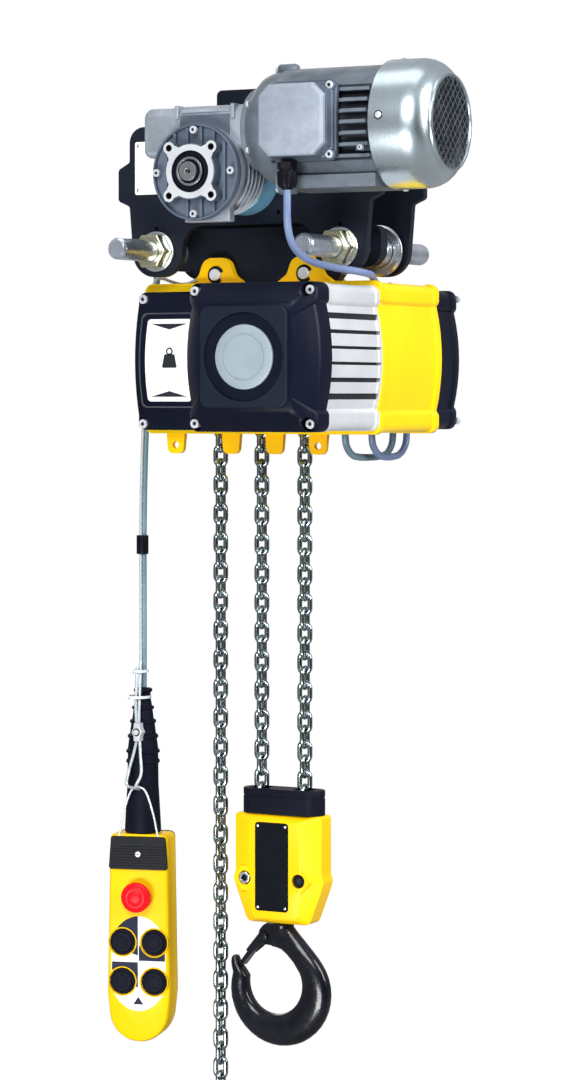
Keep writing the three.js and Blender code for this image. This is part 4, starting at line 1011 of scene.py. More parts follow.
def terminal_box():
    """The box on the motor's side, its lid and screws, and the gland below it."""
    x, z = BOX_X, BOX_Z
    square = rounded([(x - 36, z - 53, 6), (x + 53, z - 53, 12), (x + 53, z + 53, 12), (x - 36, z + 53, 6),
                      (x - 52, z + 37, 6), (x - 52, z - 37, 6)])

    def base(bm):
        add_layers(bm, [(square, -236), (square, -243), (shrunk(square, x, z, 0.975), -244.5)])
        add_layers(bm, [(octagon(x, z, 50.5, 13), -243.5), (octagon(x, z, 50.5, 13), -249),
                        (octagon(x, z, 48.5, 14), -251), (octagon(x, z, 47.5, 14), -262.6)])
        for sz in (-1, 1):
            add_lathe(bm, [(8, -243), (7.5, -247.5)], x + 45, z + sz * 45, sides=28)
    # The base takes the darker aluminium copy as painted shade.
    part("box_base", BOX_ALU_SHADED, "trolley", base, ["terminal_box"], 0.9)
    lid = [(octagon(x, z, 46.2, 15), -263.3), (octagon(x, z, 47, 15), -264.5),
           (octagon(x, z, 47, 15), -271.5), (octagon(x, z, 45.2, 14.2), -273.4),
           (octagon(x, z, 43, 13.5), -274)]
    part("box_lid", BLASTED_ALU, "trolley", layers_of(lid), ["terminal_lid"], 0.4)
    for sz in (-1, 1):
        cap_screw(f"box_screw_{sz}", x + 45, z + sz * 45, -247.5, "trolley", 5.4, 3, hex_r=2.6)

    gx, gy = GLAND.x, GLAND.y
    hexagon = circle(gx, gy, 13.4, 6, 15)
    ribs = [on_circle(gx, gy, 13.2 if i % 2 else 12.4, 10 * i) for i in range(36)]

    def gland(bm):
        add_layers(bm, [(hexagon, 37.8), (hexagon, 28.5)], "Z")
        add_lathe(bm, [(11, 29), (11, 25)], gx, gy, "Z", 32)
        add_layers(bm, [(ribs, 26), (ribs, 10), (shrunk(ribs, gx, gy, 0.82), 4.5)], "Z")
        add_lathe(bm, [(8.6, 6), (7.2, 2.2)], gx, gy, "Z", 32)
    part("gland_body", BLACK_PLASTIC, "trolley", gland, ["travel_gland"], 0.5)


def strip(centre, along, half_length, half_width):
    """Corners of a straight strip that runs along a direction through its centre."""
    reach = along * half_length
    across = Vector((-along.y, along.x)) * half_width
    return [centre - reach - across, centre + reach - across, centre + reach + across,
            centre - reach + across]


def fan_end():
    """The bright hood with its grille and screws, and the fan inside."""
    y, z = WORM_Y, WORM_Z
    middle_point = Vector((y, z))
    wall = [(84.2, MOTOR_END), (85, MOTOR_END + 0.8), (85, 312), (84.5, 318), (82.8, 325), (79.6, 332),
            (75, 338), (70, 342.5), (66.5, 345), (65, 347), (64.8, FAN_END - 1.4), (63.6, FAN_END),
            (60.5, FAN_END), (60, FAN_END - 1), (60, 344), (66, 338), (74, 331), (80, 322), (82.3, 312),
            (82.3, MOTOR_END)]
    rings = [(circle(y, z, r, 112), at) for r, at in wall]
    part("fan_hood", HOOD_ZINC, "trolley", lambda bm: add_layers(bm, rings, "X", hollow=True), ["fan_cover"],
         0)

    def lattice(bm):
        for slant, back in ((45, 2.25), (-45, 2)):
            along = Vector(on_circle(0, 0, 1, slant))
            across = Vector((-along.y, along.x))
            for k in range(-5, 6):
                offset = k * 10.6
                half = math.sqrt(max(60.3 ** 2 - offset ** 2, 1))
                wire = strip(middle_point + across * offset, along, half, 0.85)
                add_prism(bm, wire, FAN_END - back - 1.6, FAN_END - back, "X")
    part("fan_grille", LATCH_STEEL, "trolley", lattice, bevel=0.3, segments=1)
    for i, angle in enumerate((176, 90, 270, 0)):
        screw_on_hood(f"hood_screw_{i}", angle)

    def fan(bm):
        add_lathe(bm, [(14, 289), (14, 310), (10, 312), (8.4, 312)], y, z, "X", 40)
        add_lathe(bm, [(62, 290.2), (62, 292.6)], y, z, "X", 64)
        for i in range(9):
            along = Vector(on_circle(0, 0, 1, 40 * i))
            add_prism(bm, strip(middle_point + along * 36, along, 24, 1.3), 292, 310, "X")
    part("fan_rotor", FAN_PLASTIC, "travel_spindle", fan, ["cooling_fan"], 0.5,
         [lathe_of([(8.3, 280), (8.3, 330)], y, z, "X")])


def screw_on_hood(name, angle):
    """A low cross-head screw in a seat on the fan hood's side, the seat painted dark as shade."""
    arm, half = 2.8, 0.6
    corners = [(half, arm), (half, half), (arm, half), (arm, -half), (half, -half), (half, -arm)]
    corners += [(-u, -v) for u, v in corners]
    lean = Matrix.Rotation(math.radians(angle - 90), 4, "X")
    place = Matrix.Translation(Vector((283.5, WORM_Y, WORM_Z)) * MM) @ lean
    head = [(4.6, 84.6), (4.6, 85.8), (3.4, 87.4), (1.2, 88)]
    part(name, SCREW, "trolley", lathe_of(head, 0, 0, "Z", 28), bevel=0.2, turn=place,
         cut=[prism_of(corners, 86.4, 89, "Z")])
    # The seat is painted near black as shade.
    seat = [(6, 84.4), (6, 85.5), (4.6, 85.7)]
    part(f"{name}_seat", RECESS_SHADE_BLACK, "trolley", lathe_of(seat, 0, 0, "Z", 32), bevel=0.1, turn=place)


# ---------- hoist body ----------
FEET_XS = [-135, -47, 21, 88]
LABEL_X = -128
LABEL_Z = -217.5
COVER_Z = -216
COVER_TOP = -117
COVER_BOTTOM = -315
MOTOR_SLOTS = [(-161, 8), (-182, 5), (-203, 4), (-224, 4), (-246, 6), (-268, 8)]    # (level, height)


def body_outline(centre, half, top, bottom):
    """A box whose sides bulge between the waist at mid height and flared corners."""
    waist_half = 74 / 210 * (top - bottom)
    side = bulged_side(half, (top + bottom) / 2, HOIST_BULGE, -waist_half, 4)
    flare = half + 4
    right = [(flare, top, 12), (flare, top - 26, 8), *side, (flare, bottom + 26, 8), (flare, bottom, 12)]
    return [(u + centre, v) for u, v in rounded(mirrored(right), 6)]


def ear_outline(x):
    """An ear for a suspension pin, with a flared foot."""
    right = [(50, DECK_Z - 4), (46, HOIST_TOP - 2, 3), (28, HOIST_TOP + 11, 14), (19, PIN_Z + 24, 17)]
    return [(x + u, v) for u, v in rounded(mirrored(right), 10)]


def foot_outline(x):
    """A foot under the body, where a chain container hangs."""
    right = [(12, -348, 8), (15, HOIST_BOTTOM + 6)]
    return [(x + u, v) for u, v in rounded(mirrored(right))]


def hoist_frame():
    """The cast frame: a hollow deck, chain openings, ears for the pins and feet below."""
    outline = body_outline(HOIST_X, HOIST_HALF, HOIST_TOP, HOIST_BOTTOM)
    waist = body_outline(HOIST_X, HOIST_HALF - 2.2, HOIST_TOP - 2.2, HOIST_BOTTOM + 2.2)
    piece = solid("hoist_casting", YELLOW, layers_of([
        (outline, FRAME_FRONT), (outline, FRAME_FRONT + 13), (waist, FRAME_FRONT + 14.6),
        (waist, FRAME_BACK - 14.6), (outline, FRAME_BACK - 13), (outline, FRAME_BACK)]))
    deck = box_of(HOIST_X - 150, HOIST_X + 168, -33, FRAME_BACK + 2, DECK_Z, HOIST_TOP + 5)
    sheave_space = box_of(SHEAVE_X - 38, SHEAVE_X + 38, -30, 60, -292, -160)
    gland_space = box_of(52, 118, 60, FRAME_BACK + 2, HOIST_BOTTOM - 2, HOIST_BOTTOM + 12)
    chain_holes = [box_of(x - 14, x + 14, -14, 14, HOIST_BOTTOM - 2, HOIST_BOTTOM + 50)
                   for x in (SLACK_X, LOAD_X, DEAD_X)]
    ears = [prism_of(ear_outline(x), y, y + 12) for x in PIN_XS for y in (-26, 14)]
    feet = [prism_of(foot_outline(x), -34, -26) for x in FEET_XS]
    bores = [lathe_of([(8.6, -40), (8.6, 40)], x, PIN_Z) for x in PIN_XS]
    bores += [lathe_of([(5, -50), (5, -10)], x, -336, sides=32) for x in (FEET_XS[0], FEET_XS[-1])]
    # The faces cut or joined here take the darker amber copy of the yellow: painted shade on the deck,
    # openings, bores, ears and feet.
    carve(piece, [deck, sheave_space, *chain_holes, gland_space], material=AMBER_AND_SHADE_YELLOW)
    carve(piece, ears + feet, "UNION", AMBER_AND_SHADE_YELLOW)
    carve(piece, bores, material=AMBER_AND_SHADE_YELLOW)
    soften(piece, 1.2)
    attach(piece, "trolley", ["hoist_frame"])
    for node in ("hoist_rotor", "intermediate_gear", "load_sheave", "block_sheave"):
        finish_cad(node, STEEL)
    gland_plate()


def gland_plate():
    """The plate under the body with the two glands that the cables enter."""
    def build(bm):
        add_prism(bm, rounded_box(53, 61, 117, 147.5, 4), -310, -305, "Z")
        for u, v in ((72, 86), (94, 127)):
            add_prism(bm, circle(u, v, 10.5, 6), -309.8, -314.5, "Z")
            add_lathe(bm, [(8.7, -314), (8.7, -317), (7.4, -319)], u, v, "Z", 32)
    part("cable_glands", BLACK_PLASTIC, "trolley", build, ["gland_plate"], 0.6)


def label_cover():
    """The left front cover with its recessed label."""
    side = bulged_side(-177.5, -217, -6.5, -78, 6)
    outline = rounded([(-16, -122, 6), (-178, -122, 12), *side, (-178, -315, 12), (-16, -315, 6)], 6)
    inner = shrunk(outline, -98, -218, 0.975, 0.98)
    side = bulged_side(-172, LABEL_Z, -5, -61, 7)
    field = rounded([(-87, -151, 6), (-168, -151, 10), *side, (-168, -284, 10), (-87, -284, 6)], 5)
    part("label_cover_shell", COVER_BLACK, "trolley", layers_of([(outline, -43.6), (outline, -63.4),
                                                                 (inner, -65.3)]), ["label_cover"],
         cut=[prism_of(field, -67, -64.1)])
    rim = shrunk(field, LABEL_X, LABEL_Z, 0.955, 0.968)
    part("label_rim", RIM_GREY, "trolley", ring_of(field, rim, -64.9, -64.0), bevel=0.25)
    side = bulged_side(-162.5, LABEL_Z, -4.5, -54, 7)
    paper = rounded([(-93, -160, 5), (-160, -160, 6), *side, (-160, -275, 6), (-93, -275, 5)], 5)
    part("label_paper", LABEL_WHITE, "trolley", prism_of(paper, -64.5, -64.0), bevel=0.1)
    for sign, name in ((1, "down"), (-1, "up")):
        base = LABEL_Z + sign * 51
        wedge = [(LABEL_X - 29, base), (LABEL_X + 29, base), (LABEL_X, base - sign * 8)]
        part(f"label_wedge_{name}", INK_AND_SHADE_BLACK, "trolley", prism_of(wedge, -64.75, -64.45), bevel=0.02)
    weight = [(LABEL_X + u, v) for u, v in rounded(mirrored([(12, -228, 2), (8, -209, 2)]))]

    def mark(bm):
        add_prism(bm, weight, -64.75, -64.45)
        ring_of(circle(LABEL_X, -205, 5.4, 28), circle(LABEL_X, -205, 3.2, 28), -64.75, -64.45)(bm)
    part("label_weight_mark", INK_AND_SHADE_BLACK, "trolley", mark, bevel=0.02)
    for i, z in enumerate((-132, -306.5)):
        cap_screw(f"label_cover_screw_{i}", -168, z, -65.3, "trolley", 6.4, 5, hex_r=3)


def motor_housing():
    """The bright housing behind the cover, with slots along both sides whose floors are painted dark as
    shade.
    """
    full = body_outline(COVER_X, 91.5, COVER_TOP, COVER_BOTTOM)
    lower = body_outline(COVER_X, 90.2, COVER_TOP - 1.4, COVER_BOTTOM + 1.4)
    slots = []
    for z, height in MOTOR_SLOTS:
        low, high = z - height / 2, z + height / 2
        shape = rounded_box(-205, low, -46, high, 1, 5)
        for side in (-1, 1):
            slots.append(prism_of(shape, COVER_X + side * 88, COVER_X + side * 120, "X"))
            inner, outer = sorted((COVER_X + side * 87.4, COVER_X + side * 91))
            # A dark box at each slot's floor is painted shade.
            part(f"slot_floor_{side}_{-z}", INK_AND_SHADE_BLACK, "trolley",
                 box_of(inner, outer, -199, -45, low + 0.1, high - 0.1), bevel=0.1)
    layers = [(full, -199.7), (full, -190), (lower, -188.8), (lower, -54), (full, -52.6), (full, -43.3)]
    part("motor_housing", EXTRUDED_ALU, "trolley", layers_of(layers), ["hoist_motor_housing"], 0.9, slots)


def motor_cover():
    """The domed black cover with notches for its screws, its panel and the well round the badge, the well
    painted black as shade.
    """
    rim = body_outline(COVER_X, 92, COVER_TOP, COVER_BOTTOM)
    layers = [(rim, -200), (rim, -229), (shrunk(rim, COVER_X, COVER_Z, 0.985), -233)]
    for i in range(5):
        t = i / 4
        bow = 1.5 * math.sin(math.pi * t)
        layers.append((shrunk(rim, COVER_X, COVER_Z, 0.965 - 0.235 * t), -235 - 22 * t - bow))
    notch = [(9.2, -270), (9.2, -203)]
    notches = [lathe_of(notch, COVER_X + sx * 83, COVER_Z + sz * 88, sides=40) for sx, sz in CORNERS]
    part("motor_cover", COVER_BLACK, "trolley", layers_of(layers), ["badge_cover"], 1.2, notches, segments=3)
    panel = rounded_box(COVER_X - 64, -283, COVER_X + 64, -149, 12)
    inner = shrunk(panel, COVER_X, COVER_Z, 0.985)
    recess = lathe_of([(59, -270), (58.4, -254)], COVER_X, COVER_Z, sides=96)
    part("motor_cover_panel", PANEL_BLUE, "trolley", layers_of([(panel, -246), (panel, -260.8),
                                                                (inner, -262)]), bevel=0.6, cut=[recess],
         segments=3)
    # The well's floor is painted near black as shade.
    well = lathe_of([(60, -246), (60, -254)], COVER_X, COVER_Z, sides=96)
    part("motor_cover_well", RECESS_SHADE_BLACK, "trolley", well, bevel=0)


def hoist_motor():
    """The motor housing and its cover, with the plain round badge and the cover's screws on sleeves."""
    motor_housing()
    motor_cover()
    badge = [(42.6, -254.3), (43, -254.8), (43, -258), (42.2, -259.2), (41, -259.5), (0.01, -259.5)]
    groove = ring_of(circle(COVER_X, COVER_Z, 31.2, 96), circle(COVER_X, COVER_Z, 29.2, 96), -260.4, -258.4)
    part("badge_disc", BADGE_ALU, "trolley", lathe_of(badge, COVER_X, COVER_Z, sides=96), ["cover_badge"],
         0.3, [groove])
    for sx, sz in CORNERS:
        u, v = COVER_X + sx * 83 - (1 - sx) * 1.5, COVER_Z + sz * 88
        seat = -225.4 - (1 - sx) * 2.5
        sleeve = lathe_of([(5.6, -204), (5.6, seat)], u, v, sides=40)
        part(f"cover_sleeve_{sx}_{sz}", SCREW, "trolley", sleeve, bevel=0.2)
        cap_screw(f"cover_screw_{sx}_{sz}", u, v, seat, "trolley", 6.4, 6.2, hex_r=3)


def rear_cap():
    """The black cap behind the frame, notched where the cables go over its edge."""
    full = body_outline(HOIST_X, 177, COVER_TOP, COVER_BOTTOM)
    small = shrunk(full, HOIST_X, COVER_Z, 0.985)
    layers = [(full, FRAME_BACK + 0.3), (full, FRAME_BACK + 6), (small, FRAME_BACK + 7.5), (small, 205),
              (full, 206.5), (full, 215), (shrunk(full, HOIST_X, COVER_Z, 0.985, 0.975), 222),
              (shrunk(full, HOIST_X, COVER_Z, 0.955, 0.93), CAP_BACK)]
    notch = box_of(54, 116, 185, 235, -142, -100)
    part("electrics_cap", COVER_BLACK, "trolley", layers_of(layers), ["rear_cap"], 1.6, [notch], segments=3)
    for side in (-1, 1):
        x = HOIST_X + side * 178
        for z in (-129, -303):
            cap_screw(f"rear_cap_screw_{side}_{z}", x, z, 221, "trolley", 5, 6, outward=1, hex_r=2.4)


# ---------- chain ----------
CHAIN_TOP = -300
FALL_BOTTOM = -852


def link_mesh(bm, x, z, across_x):
    """One welded oval link, its long axis along Z."""
    r = LINK_T / 2
    bend = (LINK_W - LINK_T) / 2
    straight = LINK_PITCH / 2 - bend + r
    loop = arc(0, straight, bend, 0, 180, 11) + arc(0, -straight, bend, 180, 360, 11)
    rings = []
    for i, (u, v) in enumerate(loop):
        ahead = (Vector(loop[(i + 1) % len(loop)]) - Vector(loop[i - 1])).normalized()
        ring = []
        for a, b in circle(0, 0, r, 10):
            pu, pv = u + ahead.y * a, v - ahead.x * a
            ring.append(bm.verts.new((x + pu, b, z + pv) if across_x else (x + b, pu, z + pv)))
        rings.append(ring)
    skin(bm, rings, ends=False, loop=True)


def strand(name, node, x, top, bottom, squash=False):
    """A straight run of links; squash gives it a mesh of its own."""
    bm = bmesh.new()
    for i in range(round((top - bottom) / LINK_PITCH)):
        link_mesh(bm, x, top - LINK_PITCH * (i + 0.5), i % 2 == 0)
    piece = as_object(bm, name, CHAIN_STEEL)
    for polygon in piece.data.polygons:
        polygon.use_smooth = True
    attach(piece, "trolley", [node])
    if squash:
        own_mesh(piece)


def chains():
    """The slack chain with its end stop, and the two falls that carry the block."""
    strand("slack_chain", "slack_strand", SLACK_X, CHAIN_TOP, -1246)
    strand("load_chain", "load_strand", LOAD_X, CHAIN_TOP, FALL_BOTTOM, True)
    strand("dead_end_chain", "dead_end_strand", DEAD_X, CHAIN_TOP, FALL_BOTTOM, True)
    square = rounded_box(SLACK_X - 14, -14, SLACK_X + 14, 14, 2)
    groove = ring_of(shrunk(square, SLACK_X, 0, 1.1), shrunk(square, SLACK_X, 0, 0.95), -1260.6, -1259.4, "Z")
    part("chain_end_stop", BLACK_PLASTIC, "trolley", prism_of(square, -1275, -1245, "Z"), ["chain_stop"],
         cut=[groove])
    cap_screw("chain_end_screw", SLACK_X, -1252, -14, "trolley", 4, 2, hex_r=1.8)


# ---------- bottom block ----------

def block_outline(inset, taper=0):
    """Outline of the bottom block, drawn in by inset, and its sides by taper as well."""
    w = 67 - inset - taper
    foot = 48 - inset - taper * 0.55
    top = -849 - taper * 0.3
    right = [(w, top, 5), (w, -930, 8), (w + 3, -940, 8), (w - 2, -956, 8),
             (foot, -1000 + inset + taper * 0.25, 10)]
    return [(x + BLOCK_X, z) for x, z in rounded(mirrored(right), 6)]


def bottom_block():
    """Two casing halves with a blank plate, bolt bosses and the rubber guard that the chain enters."""
    for side, sign in (("front", -1), ("rear", 1)):
        layers = [(block_outline(0), sign * 0.15), (block_outline(0), sign * 15),
                  (block_outline(0, 25), sign * 27.2), (block_outline(0.6, 27), sign * 28)]
        cavity = [lathe_of([(42.5, 0), (42.5, sign * 15.2)], BLOCK_X, -903),
                  box_of(BLOCK_X - 48, BLOCK_X + 48, *sorted((0, sign * 14)), -903, -840),
                  lathe_of([(13.4, -1010), (13.4, -962)], BLOCK_X, 0, "Z", 40)]
        if side == "front":
            cavity += [bolt_well(x) for x in BOLT_XS]
        part(f"block_half_{side}", BLOCK_YELLOW, "bottom_block", layers_of(layers), [f"block_casing_{side}"],
             1.4, cavity, segments=3)
    plate = rounded_box(BLOCK_X - 29.5, -982, BLOCK_X + 22, -859, 5)
    part("block_blank_plate", BLACK_PLASTIC, "bottom_block", prism_of(plate, -29, -27.9), bevel=0.2)
    rivet = [(2.2, -28.9), (2, -30), (0.9, -30.5)]
    for x in (BLOCK_X - 25, BLOCK_X + 17.5):
        for z in (-864, -977):
            part(f"block_rivet_{round(x)}_{z}", ZINC, "bottom_block", lathe_of(rivet, x, z, sides=20),
                 bevel=0.1)
    block_bolt()

    stadium = arc(BLOCK_X + 43, 0, 20, -90, 90, 16) + arc(BLOCK_X - 40, 0, 20, 90, 270, 16)
    small = arc(BLOCK_X + 43, 0, 19.2, -90, 90, 16) + arc(BLOCK_X - 40, 0, 19.2, 90, 270, 16)
    layers = [(stadium, -848.7), (stadium, -826), (small, -825), (small, -823.6), (stadium, -822.6),
              (stadium, BUFFER_TOP - 1.4), (small, BUFFER_TOP)]
    holes = [box_of(x - 13, x + 13, -13, 13, -860, -800) for x in (LOAD_X, DEAD_X)]
    part("chain_guard", RUBBER, "bottom_block", layers_of(layers, "Z"), ["chain_buffer"], cut=holes)


def bolt_well(x):
    """The round hollow that a bolt's end sits in."""
    return lathe_of([(9.8, -40), (9.8, -21.5)], x, BOLT_Z, sides=48)


def block_bolt():
    """The bosses beside the plate, the nut and stud in the left one and the screw in the right one."""
    left, right = BOLT_XS
    for name, x, sign in (("left", left, -1), ("right", right, 1)):
        back = x - sign * 12
        base = rounded([(back, -918, 3), (x + sign * 8, -918, 5), (x + sign * 23, BOLT_Z, 6),
                        (x + sign * 6, -960, 5), (back, -960, 3)])
        boss = [(base, -14), (shrunk(base, x, BOLT_Z, 0.92), -22), (shrunk(base, x, BOLT_Z, 0.8), -27.4)]
        part(f"block_boss_{name}", BLOCK_YELLOW, "bottom_block", layers_of(boss), bevel=1.6,
             cut=[bolt_well(x)])
    nut = [(circle(left, BOLT_Z, r, 6, 20), y) for r, y in ((8.6, -21.6), (9.3, -23), (9.3, -28.4),
                                                            (8.4, -29.4))]
    core = lathe_of([(4.8, -31), (4.8, -26.5)], left, BOLT_Z, sides=32)
    part("block_nut", ZINC, "bottom_block", layers_of(nut), bevel=0.4, cut=[core])
    stud = lathe_of([(4.4, -24), (4.4, -27.4), (3.6, -28)], left, BOLT_Z, sides=32)
    part("block_stud", FORGED, "bottom_block", stud, bevel=0.3)
    cap_screw("block_screw", right, BOLT_Z, -21.6, "bottom_block", 8.4, 4, hex_r=4.4, material=FORGED)


def hook_sections():
    """Pairs of points (outer edge, inner edge) down the hook; u counts from the block's middle."""
    pairs = [((13, -1003), (-25, -1003)), ((15, -1006), (-31, -1007)), ((19, -1010.5), (-36, -1013)),
             ((25, -1017), (-38, -1020)), ((32, -1024), (-37, -1027)), ((39.5, -1032), (-30, -1032.5)),
             ((47, -1040), (-18, -1033)), ((54.3, -1048.5), (-6, -1034.5)), ((60.6, -1057), (6, -1043)),
             ((66, -1066), (16, -1053))]
    steps = 24
    for i in range(steps + 1):
        t = i / steps
        a = math.radians(16 - 212 * t)
        b = math.radians(27 - 217 * t)
        out = 77 - 1.2 * math.exp(-12 * t)
        pairs.append(((-3 + out * math.cos(a), -1096 + out * math.sin(a)),
                      (-11.5 + 42.5 * math.cos(b), -1087 + 42.5 * math.sin(b))))
    pairs += [((-79.4, -1066), (-60, -1070.5)), ((-80.2, -1060), (-66, -1064)),
              ((-79.6, -1055), (-69, -1057.5)), ((-77.5, -1052), (-71, -1053))]
    return pairs


def hook_bow(bm):
    """Skins oval sections down the hook."""
    rings = []
    for outer, inner in hook_sections():
        centre = (Vector(outer) + Vector(inner)) / 2
        reach = (Vector(outer) - Vector(inner)) / 2
        depth = min(13.0, 4.5 + reach.length * 0.62)
        ring = []
        for c, q in circle(0, 0, 1, 24):
            across = math.copysign(abs(c) ** 0.82, c)
            up = math.copysign(abs(q) ** 0.82, q)
            ring.append(bm.verts.new((BLOCK_X + centre.x + reach.x * across, depth * up,
                                      centre.y + reach.y * across)))
        rings.append(ring)
    skin(bm, rings)


def load_hook():
    """The hook with its shank, and the latch on its pivot."""
    slots = [box_of(BLOCK_X - 50, BLOCK_X - 12, y, y + 13.2, -1040, -1004) for y in (-20, 6.8)]
    part("hook_bow", FORGED, "load_hook", hook_bow, ["hook"], 0.9, slots, segments=3, angle=40)
    shank = [(12, -958), (12.8, -960), (12.8, -1001), (15, -1004), (15, -1008)]
    part("hook_shank", FORGED, "load_hook", lathe_of(shank, BLOCK_X, 0, "Z", 48), bevel=0.4)

    px, pz = BLOCK_X - 27, -1021
    cheek = rounded([(px + 7, pz + 3, 6), (px - 4, pz + 7, 6), (px - 27, pz - 21, 2), (px - 20, pz - 27, 2),
                     (px + 5, pz - 6, 5)])
    tongue = rounded([(px - 15, pz - 9, 1), (px - 39, pz - 41, 2), (px - 35, pz - 45, 2),
                      (px - 11, pz - 15, 1)])

    def latch(bm):
        add_prism(bm, cheek, -10, -7.6)
        add_prism(bm, cheek, 7.6, 10)
        add_prism(bm, tongue, -8.6, 8.6)
    part("latch_plate", FORGED, "safety_latch", latch, ["hook_latch"], 0.6)
    pivot = [(3, -13), (6.4, -12.4), (6.4, -10.2), (2.6, -10), (2.6, 10), (6.4, 10.2), (6.4, 12.4), (3, 13)]
    part("latch_pivot", FORGED, "safety_latch", lathe_of(pivot, px, pz, sides=32), bevel=0.2)


# ---------- pendant ----------
PENDANT_TURN = Matrix.Translation((-0.222, 0.028, 0)) @ Matrix.Rotation(PENDANT_YAW, 4, "Z")


def pendant_outline(inset):
    """The pendant from the front: straight sides above a half-round end."""
    right = [(43 - inset, PENDANT_TOP, 8), (47 - inset, -1120, 30)]
    return rounded(mirrored(right, arc(0, -1146, 44 - inset, -8, -172, 24)), 7)


def pendant_part(name, material, build, replaces=(), bevel=0.8, cut=(), segments=2, body="pendant"):
    """A piece modelled square to the pendant and turned with it."""
    return part(name, material, body, build, replaces, bevel, cut, PENDANT_TURN, segments)


def pendant_shell():
    """The yellow front, the black back and the ribbed plate at the top."""
    layers = [(pendant_outline(inset), y) for inset, y in ((5, -28), (2.4, -26.6), (0.8, -23.6), (0, -20),
                                                           (0, 14))]
    holes = [lathe_of([(14.2, -40), (14.2, -22), (10, -21.9), (10, -12)], 0, ESTOP_Z)]
    holes += [lathe_of([(19.4, -40), (19.4, -15)], x, z) for x, z in button_centres()]
    pendant_part("pendant_front", YELLOW_PLASTIC, layers_of(layers), ["pendant_shell"], 0.7, holes, 3)
    rear = [(pendant_outline(inset), y) for inset, y in ((1, 14.3), (1, 20), (2, 24), (5, 27))]
    pendant_part("pendant_rear", BLACK_PLASTIC, layers_of(rear), ["pendant_back"], 0.6)
    head_plate = rounded([(-40, -896, 4), (40, -896, 4), (43.5, -943, 4), (-43.5, -943, 4)])

    def ribbed(bm):
        add_layers(bm, [(head_plate, -28.2), (head_plate, -30.2), (shrunk(head_plate, 0, -920, 0.98), -31)])
        for i in range(8):
            z = -910 - 4 * i
            half = 37.5 - (z + 896) * 0.06
            add_box(bm, -half, half, -32, -30.6, z - 2.6, z)
    pendant_part("pendant_head_plate", BLACK_PLASTIC, ribbed, ["pendant_top_plate"], 0.3)
    screw = [(4.2, -30.4), (4.2, -32.8), (3.2, -33.6), (0.01, -33.8)]
    pendant_part("head_plate_screw", SCREW, lathe_of(screw, 0, -921, sides=32), bevel=0.2)
    # The slot in the screw is painted black as shade.
    slot = box_of(-3, 3, -34.1, -33.6, -921.5, -920.5)
    pendant_part("head_plate_screw_slot", RECESS_SHADE_BLACK, slot, bevel=0.05)


def button_centres():
    """Up and down above left and right."""
    return [(side * BUTTON_X, z) for z in BUTTON_ROWS for side in (-1, 1)]


def pendant_boot():
    """The rubber boot, with ribs on its way up to the cable."""
    profile = [(24, -892.7), (26, -891), (26, -885), (24, -850), (22.4, -823), (22, -794), (24.2, -792),
               (24.2, -789.5), (22, -787), (21.8, -779.5), (24.2, -778), (24.2, -775), (21.8, -773),
               (20, -758), (22, -756.5), (22, -753.5), (18.6, -751), (17, -737), (18.8, -735), (18.8, -732),
               (15.4, -730), (13.8, -717), (16, -715.3), (16, -712.7), (13, -711), (11, -700), (10.6, -695),
               (11.4, -692), (13.4, -690.5), (13.4, -687.5), (11, -686), (6, -685.7)]
    pendant_part("pendant_cable_boot", RUBBER, lathe_of(profile, 0, -2, "Z"), ["pendant_boot"], 0.5)


def emergency_stop():
    """The black stem with its collar, and the red head that turns on it."""
    def stem(bm):
        add_lathe(bm, [(9.4, -20), (9.4, -38)], 0, ESTOP_Z, sides=48)
        add_lathe(bm, [(13.5, -28.3), (13.5, -33), (12.4, -34.4), (11, -34.4)], 0, ESTOP_Z, sides=48)
    pendant_part("stop_stem", BLACK_PLASTIC, stem, ["estop_stem"], 0.4, body="estop_plunger")
    head = [(17.5, -38.3), (20.4, -39.4), (21.4, -41), (21.4, -44.6), (20.6, -46.4), (18.6, -47.6),
            (17.4, -47.8), (16.8, -49.6), (15.4, -50.6), (11, -51), (10.2, -50.6), (9.4, -51.2), (5, -51.8),
            (0.01, -51.9)]
    pendant_part("stop_head", RED, lathe_of(head, 0, ESTOP_Z, sides=96), ["emergency_stop"], 0.25,
                 body="estop_head")


def pendant_buttons():
    """Four rubber buttons, each in a yellow rim."""
    cap = [(18.6, -22), (18.6, -27.6), (17.8, -29.4), (16.6, -30.2), (15.2, -30.2), (14.6, -31.6),
           (13.4, -32.6), (9, -32.8), (8.2, -32), (4, -32), (0.01, -32)]
    rim = [(21, -27.6), (21, -30), (20.4, -30.6), (19.9, -30.6), (19.5, -30), (19.5, -27.6)]
    for name, (x, z) in zip(("up", "down", "left", "right"), button_centres()):
        pendant_part(f"push_{name}", RUBBER, lathe_of(cap, x, z, sides=72), [f"button_{name}"], 0.3,
                     body=f"key_{name}")
        pendant_part(f"button_rim_{name}", YELLOW_PLASTIC, lathe_of(rim, x, z, sides=72), bevel=0.2)


def oval_arc(start, end, steps=20):
    """Points of the printed oval between two angles, clipped at the straight sides of the pendant."""
    points = []
    for i in range(steps + 1):
        angle = math.radians(start + (end - start) * i / steps)
        x = OVAL_HALF_W * math.cos(angle)
        points.append((max(-OVAL_CLIP, min(OVAL_CLIP, x)), OVAL_Z + OVAL_HALF_H * math.sin(angle)))
    return points


